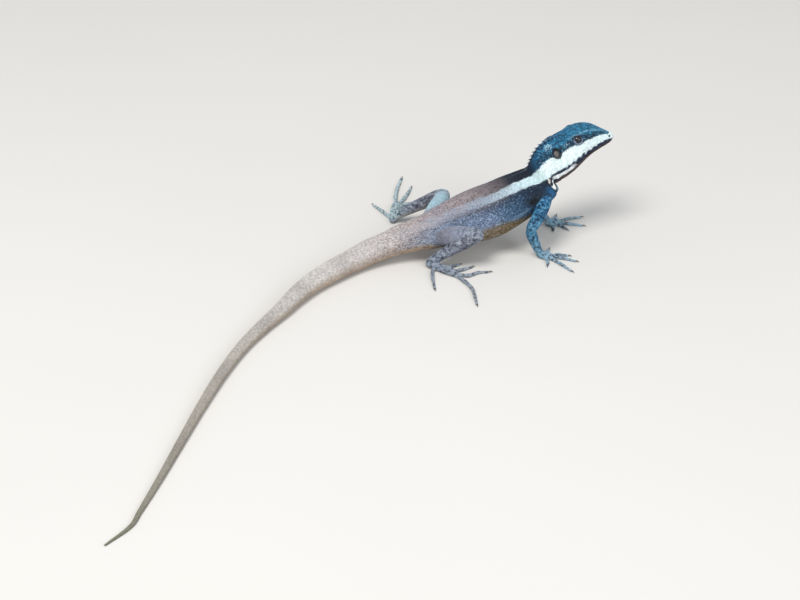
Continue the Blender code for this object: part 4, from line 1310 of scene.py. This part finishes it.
# The band lies this much further round on the left of the back.
FAR_SHIFT = 0.095
BAND_FOOT = ((0.0, 0.42), (1.4, 0.455), (3.0, 0.492), (3.6, 0.515), (4.2, 0.532), (5.2, 0.546),
             (7.5, 0.544), (10.0, 0.541), (12.0, 0.500), (13.0, 0.410), (14.0, 0.320), (15.1, 0.263),
             (16.2, 0.240), (17.8, 0.222), (20.0, 0.230), (22.0, 0.24), (41.0, 0.22))
# White of the band along the spine. From row 12.75 it turns greyer, which is painted shade behind the jowl
# on the neck, and further back it dims more.
BAND_WHITES_AND_SHADE = ((0.0, (238, 254, 255)), (12.4, (236, 252, 253)), (12.75, (208, 229, 230)),
               (13.6, (202, 224, 227)), (16.0, (204, 224, 230)), (17.4, (184, 202, 212)),
               (19.0, (168, 184, 200)), (21.0, (170, 186, 208)), (24.0, (184, 204, 224)))
# Place round the head of the ridge from brow to snout, along which a highlight is painted.
RIDGE_AT = ((0.0, 0.06), (2.0, 0.085), (3.4, 0.135), (4.9, 0.160), (6.4, 0.185), (8.6, 0.180),
            (41.0, 0.18))
JAW_STRIPE = ((0.0, 0.60), (7.4, 0.610), (9.4, 0.620), (10.4, 0.618), (11.6, 0.578), (12.4, 0.530),
              (13.2, 0.46), (41.0, 0.4))
THROAT_EDGE = ((0.0, 0.57), (3.0, 0.585), (4.9, 0.600), (6.4, 0.630), (7.5, 0.668), (9.4, 0.676),
               (10.4, 0.680), (13.0, 0.72), (41.0, 0.76))
BELLY_TOP = ((0.0, 0.66), (15.0, 0.66), (16.2, 0.62), (17.5, 0.53), (18.4, 0.50), (20.0, 0.52),
             (22.0, 0.56), (25.0, 0.57), (30.0, 0.60), (41.0, 0.64))
BACK_COLOURS = ((0.0, (92, 150, 176)), (2.5, (70, 142, 174)), (5.0, (38, 120, 156)),
                (7.5, (32, 108, 146)), (9.6, (28, 108, 148)), (12.2, (24, 84, 120)), (13.4, (12, 42, 66)),
                (14.2, (5, 18, 36)), (15.6, (6, 20, 38)), (16.5, (34, 40, 54)), (17.3, (96, 88, 92)),
                (18.6, (132, 122, 124)), (20.2, (156, 144, 145)), (22.2, (160, 152, 158)),
                (24.0, (182, 170, 169)), (26.0, (200, 192, 190)), (30.0, (204, 199, 194)),
                (34.0, (186, 180, 172)), (36.5, (170, 163, 153)), (39.0, (146, 142, 128)),
                (41.0, (122, 126, 104)))
FLANK_COLOURS = ((0.0, (60, 84, 106)), (10.0, (58, 80, 102)), (12.6, (30, 76, 112)), (14.4, (20, 60, 92)),
                 (15.6, (26, 62, 92)), (16.6, (44, 78, 108)), (17.6, (74, 104, 134)),
                 (18.6, (112, 132, 162)), (19.8, (130, 146, 174)), (21.5, (130, 148, 174)),
                 (23.2, (142, 148, 162)), (26.0, (182, 166, 156)), (30.0, (194, 180, 166)),
                 (35.0, (170, 158, 144)), (41.0, (112, 112, 94)))
BELLY_COLOURS = ((0.0, (96, 88, 92)), (9.0, (92, 80, 80)), (11.6, (74, 60, 58)), (12.6, (44, 66, 88)),
                 (14.4, (44, 78, 106)), (15.6, (92, 84, 58)), (17.6, (126, 104, 62)),
                 (19.5, (138, 120, 92)), (22.0, (152, 136, 116)), (24.0, (186, 160, 134)),
                 (27.0, (190, 168, 146)), (30.0, (190, 168, 148)), (36.0, (160, 148, 132)),
                 (41.0, (106, 104, 88)))
ARM_COLOURS = ((0.0, (28, 94, 142)), (0.10, (34, 106, 154)), (0.19, (46, 110, 150)),
               (0.26, (78, 132, 164)), (0.34, (116, 154, 178)), (0.42, (146, 172, 188)),
               (0.60, (172, 188, 200)))
LEG_COLOURS = ((0.0, (126, 132, 150)), (0.12, (126, 124, 134)), (0.20, (144, 150, 168)),
               (0.25, (142, 150, 166)), (0.33, (112, 114, 126)), (0.46, (122, 130, 146)),
               (0.56, (136, 148, 164)), (0.70, (146, 156, 168)), (0.97, (162, 166, 174)))
# Pale mark low on the flank, painted shade before the arm, painted shade in the armpit: place, half sizes,
# strength, colour.
TRUNK_SPOTS = (((16.7, 0.545), (0.75, 0.030), 0.45, (126, 158, 184)),
               ((15.3, 0.440), (0.90, 0.090), 0.45, (8, 22, 38)),
               ((15.45, 0.478), (0.36, 0.036), 0.95, (2, 6, 14)))
# The second colour is painted shade, laid over the skin where it shows between the scales.
STRIPE_WHITE, GAP_SHADE = linear(250, 255, 255), linear(10, 20, 32)
ARM_DARK, LEG_DARK = linear(12, 32, 52), linear(50, 54, 66)
ARM_PALE, LEG_PALE = linear(140, 198, 222), linear(190, 200, 208)


def by_place(pairs):
    """Turns spine rows into shares of the whole spine."""
    return tuple((place / LAST, value) for place, value in pairs)


# %% Crown and nape
def crown_colours(paint, colour, along, edge, top, tint):
    """Dark lores, a painted highlight along the ridge from brow to snout, blue patches and flecks on the
    head and nape.
    """
    head = 1 - paint.rows(along, 11.5, 13.0)
    lores = paint.between(edge, top - 0.17, top - 0.11) * head
    lores = lores * paint.rows(along, 1.4, 2.6)
    colour = paint.mix(lores * 0.80, colour, linear(20, 46, 66))
    patches = paint.noise(520.0, 2.0)
    colour = paint.mix(paint.between(patches, 0.50, 0.38) * head * 0.50, colour, linear(8, 34, 54))
    colour = paint.mix(paint.between(patches, 0.54, 0.64) * head * 0.42, colour, linear(62, 156, 196))
    # Painted highlight: a flecked pale line along the ridge from brow to snout.
    crease = edge - paint.curve(along, by_place(RIDGE_AT))
    ridge_highlight = paint.window(crease, -0.028, -0.012, 0.012, 0.028)
    ridge_highlight = ridge_highlight * paint.rows(along, 1.5, 2.5) * (1 - paint.rows(along, 7.0, 8.0))
    fleck = paint.noise(1500.0, 2.0) + (tint - 0.5) * 0.22
    ridge_highlight = ridge_highlight * (0.30 + paint.between(fleck, 0.50, 0.60) * 0.45)
    colour = paint.mix(ridge_highlight, colour, linear(150, 204, 226))
    colour = paint.mix(paint.between(fleck, 0.60, 0.68) * head * 0.62, colour, linear(104, 176, 214))
    colour = paint.mix(paint.between(fleck, 0.44, 0.34) * head * 0.70, colour, linear(6, 24, 40))
    streak = paint.spot(along * LAST, edge, (10.15, 0.115), (0.42, 0.075))
    streak = streak + paint.spot(along * LAST, edge, (8.0, 0.270), (0.55, 0.016)) * 0.7
    return paint.mix(streak * paint.between(fleck, 0.47, 0.55) * 0.90, colour, linear(178, 222, 236))


# %% Collar, lips, jaw and throat
def collar_colours(paint, colour, along, edge, foot):
    """Pale spot, white bar and grey blue mark in the dark fold in front of the shoulder."""
    row = along * LAST
    dark = paint.window(row, 11.7, 12.0, 13.2, 13.5)
    dark = dark * paint.window(edge, foot + 0.004, foot + 0.012, 0.74, 0.78)
    colour = paint.mix(dark * 0.92, colour, linear(8, 24, 38))
    grey = paint.window(row, 12.30, 12.40, 13.02, 13.12)
    grey = grey * paint.window(edge, 0.705, 0.720, 0.80, 0.88)
    colour = paint.mix(grey * 0.9, colour, linear(112, 144, 166))
    flare = paint.between(row, 12.60, 13.00) * 0.026
    bar = paint.between(edge + flare, 0.588, 0.598) * (1 - paint.between(edge - flare, 0.656, 0.666))
    bar = bar * paint.window(row, 11.84, 11.92, 13.06, 13.14)
    colour = paint.mix(bar, colour, STRIPE_WHITE)
    return paint.mix(paint.spot(row, edge, (12.62, 0.496), (0.30, 0.028)), colour, linear(222, 214, 204))


def head_colours(paint, colour, along, edge, tint):
    """Crown, lip band's scalloped foot, jaw stripe, throat and collar, laid over the base colours."""
    head = 1 - paint.rows(along, 11.5, 13.0)
    far = paint.far_side(5.0, 8.0) * paint.rows(along, 13.0, 14.5) * FAR_SHIFT
    top = paint.curve(along, by_place(BAND_TOP)) + far
    foot = paint.curve(along, by_place(BAND_FOOT)) + far
    colour = crown_colours(paint, colour, along, edge, top, tint)
    wave = along * (LAST * 7.4) + paint.noise(160.0, 1.0) * 5.0
    scallop = paint.node("ShaderNodeMath", {"operation": "SINE"}, {0: wave})
    scallop = scallop * 0.015 * (1 - paint.rows(along, 8.5, 9.5))
    below = paint.between(edge + scallop, foot - 0.006, foot + 0.006) * head
    colour = paint.mix(below, colour, linear(30, 46, 74))
    throat_edge = paint.curve(along, by_place(THROAT_EDGE))
    throat = paint.between(edge, throat_edge - 0.01, throat_edge + 0.03) * head
    mottle = paint.between(paint.noise(800.0, 2.0), 0.42, 0.60)
    chin = paint.mix(mottle, linear(58, 44, 44), linear(98, 80, 72))
    colour = paint.mix(throat, colour, chin)
    colour = collar_colours(paint, colour, along, edge, foot)
    stripe = paint.curve(along, by_place(JAW_STRIPE))
    stripe_on = paint.rows(along, 6.8, 7.6) * (1 - paint.rows(along, 11.4, 12.0))
    inside = paint.between(edge, stripe - 0.030, stripe - 0.022)
    inside = inside * (1 - paint.between(edge, stripe + 0.050, stripe + 0.058))
    colour = paint.mix(inside * stripe_on, colour, STRIPE_WHITE)
    return colour, top, foot - scallop


# %% Eyes, ears and nostrils
def face_marks(paint, colour, along, edge):
    """Pale lid ring in a dark surround, and painted shade in the ear's hollow and in the nostril, on top of
    the bands.
    """
    head = 1 - paint.rows(along, 9.6, 10.0)
    eye = paint.reach_from(EYE_AT[0], EYE_AT[1] - 0.35, LID_SHAPE)
    shade = (1 - paint.between(eye, 2.9, 4.3)) * head * paint.between(edge, 0.15, 0.21)
    colour = paint.mix(shade * 0.80, colour, linear(14, 32, 50))
    dots = paint.between(paint.noise(1250.0, 2.0), 0.54, 0.62) * shade * paint.between(eye, 2.6, 3.0)
    colour = paint.mix(dots * 0.75, colour, linear(128, 172, 204))
    lid = paint.window(eye, 1.70, 1.82, 2.36, 2.60) * head
    colour = paint.mix(lid * 0.86, colour, linear(152, 172, 208))
    # Painted shade in the ear's hollow and on the beads round it: dark out to 2.25 mm, gone by 2.75 mm.
    ear = paint.reach_from(*EAR_AT)
    rim = (1 - paint.between(ear, 2.25, 2.75)) * (1 - paint.rows(along, 11.5, 12.0))
    colour = paint.mix(rim * 0.94, colour, linear(18, 26, 36))
    # Painted shade inside the nostril's pit.
    nostril_shade = (1 - paint.between(paint.reach_from(*NOSTRIL_AT), 0.45, 0.7)) * head
    return paint.mix(nostril_shade * 0.9, colour, linear(20, 24, 30))


# %% Arms and legs
def limb_colours(paint, along, tint):
    """Teal arms and grey brown legs with flecks that run over the whole limb."""
    reach, ring = paint.number("reach"), paint.number("ring")
    arm = paint.ramp(reach, ARM_COLOURS)
    leg = paint.ramp(reach, LEG_COLOURS)
    is_leg = paint.rows(along, 17.0, 19.0)
    colour = paint.mix(is_leg, arm, leg)
    far = paint.far_side(8.0, 12.0) * is_leg
    knee = paint.window(reach, 0.10, 0.15, 0.265, 0.305)
    colour = paint.mix(far * knee * 0.8, colour, linear(170, 204, 214))
    colour = paint.mix(far * paint.between(reach, 0.50, 0.56) * 0.80, colour, linear(188, 212, 216))
    blots = paint.noise(560.0, 2.0) + paint.noise(1400.0, 1.0) * 0.5 + (tint - 0.5) * 0.16
    grown = 0.30 + paint.between(reach, 0.19, 0.30) * 0.70
    dark = paint.between(blots, 0.79, 0.87) * (1 - is_leg * (1 - grown)) * (1 - far * knee * 0.8)
    colour = paint.mix(dark * 0.85, colour, paint.mix(is_leg, ARM_DARK, LEG_DARK))
    pale = paint.between(blots, 0.68, 0.60) * (0.60 - is_leg * (1 - grown) * 0.7)
    colour = paint.mix(pale, colour, paint.mix(is_leg, ARM_PALE, LEG_PALE))
    under = paint.between(ring, 0.72, 0.92)
    return paint.mix(under * 0.5, colour, linear(160, 152, 144))


# %% Trunk
def trunk_colours(paint, colour, along, edge, speckle):
    """Bright shoulder, dark upper flank, light and dark flecks, a pale mark low on the flank, and painted
    shade before the arm and in the armpit.
    """
    row = along * LAST
    glow = paint.spot(row, edge, (13.95, 0.60), (0.85, 0.14))
    colour = paint.mix(glow * 0.70, colour, linear(30, 108, 164))
    collar = paint.window(row, 12.8, 13.2, 15.0, 16.2)
    collar = collar * (1 - paint.between(edge - 0.05 * row + 0.72, 0.48, 0.62))
    collar = collar * paint.between(edge, 0.20, 0.26)
    colour = paint.mix(collar * 0.70, colour, linear(8, 20, 34))
    upper = (1 - paint.between(edge, 0.30, 0.42)) * paint.between(edge, 0.16, 0.22)
    upper = upper * paint.window(row, 14.5, 15.5, 20.0, 23.0)
    colour = paint.mix(upper * 0.45, colour, linear(18, 38, 60))
    trunk = paint.window(row, 13.0, 14.5, 24.0, 30.0)
    rear = paint.between(row, 15.6, 18.5)
    light = paint.between(speckle, 0.57, 0.65) * trunk * paint.between(edge, 0.12, 0.2)
    colour = paint.mix(light * (0.16 + rear * 0.32), colour, linear(170, 190, 212))
    grain = paint.between(speckle, 0.48, 0.36) * trunk
    colour = paint.mix(grain * 0.56, colour, linear(30, 36, 50))
    # Spots: a pale mark, then painted shade before the arm and in the armpit.
    for at, size, share, shown in TRUNK_SPOTS:
        colour = paint.mix(paint.spot(row, edge, at, size) * share, colour, linear(*shown))
    return colour


# %% All markings together
def hide_colour(paint, tint):
    """Whole colouring of the animal, the same for its skin and its scales."""
    along, around, limb = paint.number("along"), paint.number("around"), paint.number("limb")
    wander = paint.noise(420.0, 3.0)
    edge = around + (wander - 0.5) * 0.05
    speckle = paint.noise(1150.0, 2.0) + (tint - 0.5) * 0.12
    back = paint.ramp(along, by_place(BACK_COLOURS))
    flank = paint.ramp(along, by_place(FLANK_COLOURS))
    belly = paint.ramp(along, by_place(BELLY_COLOURS))
    tail_share = paint.rows(along, 23.0, 27.0)
    colour = paint.mix(paint.between(edge, 0.20 + tail_share * 0.12, 0.34 + tail_share * 0.2), back, flank)
    belly_top = paint.curve(along, by_place(BELLY_TOP))
    colour = paint.mix(paint.between(edge, belly_top - 0.03, belly_top + 0.06), colour, belly)
    colour = trunk_colours(paint, colour, along, edge, speckle)
    colour, top, foot = head_colours(paint, colour, along, edge, tint)
    hazy = paint.rows(along, 16.0, 23.0)
    inside = paint.between(edge, top - 0.012 - hazy * 0.03, top + 0.012 + hazy * 0.02)
    inside = inside * (1 - paint.between(edge, foot - 0.012 - hazy * 0.02, foot + 0.012 + hazy * 0.03))
    holes = 1 - paint.between(speckle + hazy * 0.20, 0.58, 0.70) * paint.rows(along, 15.4, 17.6)
    fade = 1 - paint.rows(along, 22.5, 26.5)
    strength = inside * holes * fade
    # The band's white, greyer behind the jowl with painted shade.
    band_white_and_shade = paint.ramp(along, by_place(BAND_WHITES_AND_SHADE))
    colour = paint.mix(strength * (0.98 - hazy * 0.22), colour, band_white_and_shade)
    colour = face_marks(paint, colour, along, edge)
    bars = paint.node("ShaderNodeMath", {"operation": "SINE"}, {0: along * 118.0 + wander * 2.6})
    bars = paint.between(bars, 0.15, 0.95) * paint.rows(along, 24.5, 29.0)
    colour = paint.mix(bars * 0.15, colour, linear(104, 94, 86))
    is_leg = paint.rows(along, 17.0, 19.0)
    reach = paint.number("reach")
    rooted = paint.between(reach, 0.03 + is_leg * 0.025, 0.105 + is_leg * 0.045)
    return paint.mix(limb * rooted, colour, limb_colours(paint, along, tint))


# %% Hide of the skin and of the scales
def hide(name, share, tinted):
    """Hide: share is how much of the colour shows over a dark blue, which on the skin between the scales is
    painted shade; tinted scales keep their own lightness.
    """
    paint = Paint(name)
    tint = paint.number("tint") if tinted else paint.noise(1500.0, 1.0)
    colour = hide_colour(paint, tint)
    if tinted:
        colour = paint.mix(1.0, colour, 0.80 + tint * 0.36, "MULTIPLY")
    colour = paint.mix(1.0 - share, colour, GAP_SHADE)
    rough = 0.48 + paint.noise(1600.0) * 0.22
    grain = paint.noise(5200.0, 3.0)
    surface = {"Base Color": colour, "Roughness": rough, "Specular IOR Level": 0.36}
    return paint.finish(surface, grain, 0.25, 0.00008)


# The skin keeps 0.66 of its colour and is darkened for the rest: painted shade in the gaps between the
# scales.
skin_hide = hide("skin_hide", 0.66, False)
scale_hide = hide("scale_hide", 1.0, True)
print("nodes in the scale hide", len(scale_hide.node_tree.nodes))

# %% Spines, claws, eyes and eardrums
paint = Paint("spine_horn")
tip, tint, along = paint.number("tip"), paint.number("tint"), paint.number("along")
dark = paint.ramp(along, by_place(((8.0, (26, 58, 84)), (13.0, (14, 34, 54)), (16.5, (14, 22, 34)),
                                   (18.5, (92, 86, 90)), (24.0, (150, 142, 146)))))
colour = paint.mix(paint.between(tip, 0.55, 1.0) * (0.35 + tint * 0.5), dark, linear(176, 196, 206))
spine_horn = paint.finish({"Base Color": colour, "Roughness": 0.45}, paint.noise(3000.0), 0.2, 0.00005)

paint = Paint("claw_horn")
colour = paint.mix(paint.between(paint.number("tip"), 0.15, 0.8), linear(92, 84, 78), linear(28, 24, 22))
claw_horn = paint.finish({"Base Color": colour, "Roughness": 0.3 + paint.noise(2500.0) * 0.2})

paint = Paint("wet_eye")
out = paint.number("tip")
streaks = paint.noise(1500.0, 3.0)
iris = paint.mix(streaks, linear(8, 10, 16), linear(30, 32, 38))
colour = paint.mix(paint.between(out, 0.082, 0.094), linear(1, 1, 2), iris)
colour = paint.mix(paint.between(out, 0.10, 0.18), colour, linear(4, 4, 7))
wet_eye = paint.finish({"Base Color": colour, "Roughness": 0.2, "Coat Weight": 0.4, "Coat Roughness": 0.06})

paint = Paint("eardrum_skin")
colour = paint.mix(paint.noise(900.0, 2.0), linear(66, 64, 66), linear(128, 122, 118))
# Painted shadow of the hollow's upper rim across the drum, then painted shade round the drum's edge.
shadow = paint.between(paint.reach_from(EAR_AT[0] - 0.45, EAR_AT[1] - 0.65), 1.15, 1.9)
colour = paint.mix(shadow * 0.85, colour, linear(22, 26, 34))
colour = paint.mix(paint.between(paint.number("tip"), 0.25, 0.36), colour, linear(20, 26, 36))
eardrum_skin = paint.finish({"Base Color": colour, "Roughness": 0.38}, paint.noise(2600.0), 0.2, 0.00005)

# %% Put the materials on
skin.data.materials.clear()
skin.data.materials.append(skin_hide)
for piece in pieces:
    piece.data.materials.append(scale_hide)
crest.data.materials.append(spine_horn)
claws.data.materials.append(claw_horn)
drums.data.materials.append(eardrum_skin)
for piece in eye_pieces.values():
    piece.data.materials.append(wet_eye)
print("pieces with the scale hide", len(pieces))

# %% [markdown]
# ## What replaces what
# The one skin stands for all the solids of flesh, and each eyeball for its solid eye. The other
# pieces are new. Nothing on the model moves, so all of it rides on the one body.

# %% Ride, replace and count
FLESH = ["head", "lower_jaw", "neck", "torso"] + ["tail_%d" % number for number in range(1, 7)]
for word in SIDES:
    FLESH += [part + "_" + word for part in ("upper_arm", "forearm", "hand", "thigh", "shank", "foot")]
everything = pieces + [skin, crest, claws, drums] + list(eye_pieces.values())
for piece in everything:
    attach(piece, "root")
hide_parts(*FLESH)
for word, piece in eye_pieces.items():
    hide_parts("eye_" + word)
counts = {}
for piece in everything:
    counts[piece.name] = sum(len(polygon.vertices) - 2 for polygon in piece.data.polygons)
most = max(counts, key=counts.get)
print("pieces", len(everything), "triangles", sum(counts.values()), "most in", most, counts[most])

# %% [markdown]
# ## Floor, light and camera
# The animal is shown on a plain pale floor in soft light, from the photograph's own angle: a long
# lens looks down at it from its right side.

# %% Floor
FLOOR_HALF = 4.0
FLOOR_DROP = 0.00005
corners = FLOOR_HALF * np.array(((-1, -1), (1, -1), (1, 1), (-1, 1)))
corners = np.column_stack([corners, np.full(4, -FLOOR_DROP)]) * 1000 - ORIGIN
floor = new_mesh("floor", corners, ((0, 1, 2, 3),))
paint = Paint("floor_paper")
grey = paint.mix(paint.noise(3.0), linear(212, 209, 204), linear(219, 216, 211))
floor.data.materials.append(paint.finish({"Base Color": grey, "Roughness": 0.9}))
print("floor", 2 * FLOOR_HALF, "m wide")

# %% Camera
AZIMUTH, ELEVATION, DISTANCE = np.radians(-16.0), np.radians(34.0), 1.0
FIELD = 24.5
# This point of the model, in the tables' millimetres, is seen at this pixel.
AIM = np.array((0.0, 0.0, 16.0))
AIM_PIXEL = (486.0, 225.0)
FRAME_WIDE, FRAME_HIGH = 800.0, 600.0
level = np.array((np.sin(AZIMUTH), -np.cos(AZIMUTH), 0.0))
back = level * np.cos(ELEVATION) + np.array((0.0, 0.0, np.sin(ELEVATION)))
right = np.array((np.cos(AZIMUTH), np.sin(AZIMUTH), 0.0))
up = np.cross(back, right)
focal = FRAME_WIDE / 2 / np.tan(np.radians(FIELD) / 2)
ray = right * (AIM_PIXEL[0] - FRAME_WIDE / 2) / focal + up * (FRAME_HIGH / 2 - AIM_PIXEL[1]) / focal - back
lens = bpy.data.cameras.new("camera")
lens.sensor_fit = "HORIZONTAL"
lens.angle = np.radians(FIELD)
lens.clip_start = 0.05
camera = bpy.data.objects.new("camera", lens)
bpy.context.scene.collection.objects.link(camera)
turned = Matrix(np.column_stack([right, up, back]).tolist()).to_4x4()
camera.matrix_world = Matrix.Translation(Vector((AIM + ORIGIN) * 0.001 - ray * DISTANCE)) @ turned
bpy.context.scene.camera = camera
print("camera at", np.round(camera.matrix_world.translation, 3))


# %% Lights
def soft_light(name, place, size, power, colour):
    """Round lamp at a place, turned to face the animal."""
    lamp = bpy.data.lights.new(name, "AREA")
    lamp.shape = "DISK"
    lamp.size = size
    lamp.energy = power
    lamp.color = colour
    item = bpy.data.objects.new(name, lamp)
    bpy.context.scene.collection.objects.link(item)
    item.location = place
    item.rotation_euler = (-Vector(place)).to_track_quat("-Z", "Y").to_euler()


soft_light("key", (-0.55, -0.35, 1.35), 0.7, 17.0, (1.0, 0.985, 0.96))
soft_light("fill", (0.8, -1.1, 0.85), 1.0, 9.0, (0.92, 0.96, 1.0))
world = bpy.data.worlds.new("studio")
world.use_nodes = True
sky = world.node_tree.nodes["Background"].inputs
sky["Color"].default_value = (0.90, 0.94, 1.0, 1.0)
sky["Strength"].default_value = 0.55
bpy.context.scene.world = world
bpy.context.scene.view_settings.view_transform = "Standard"
print("lights", [light.name for light in bpy.data.lights])
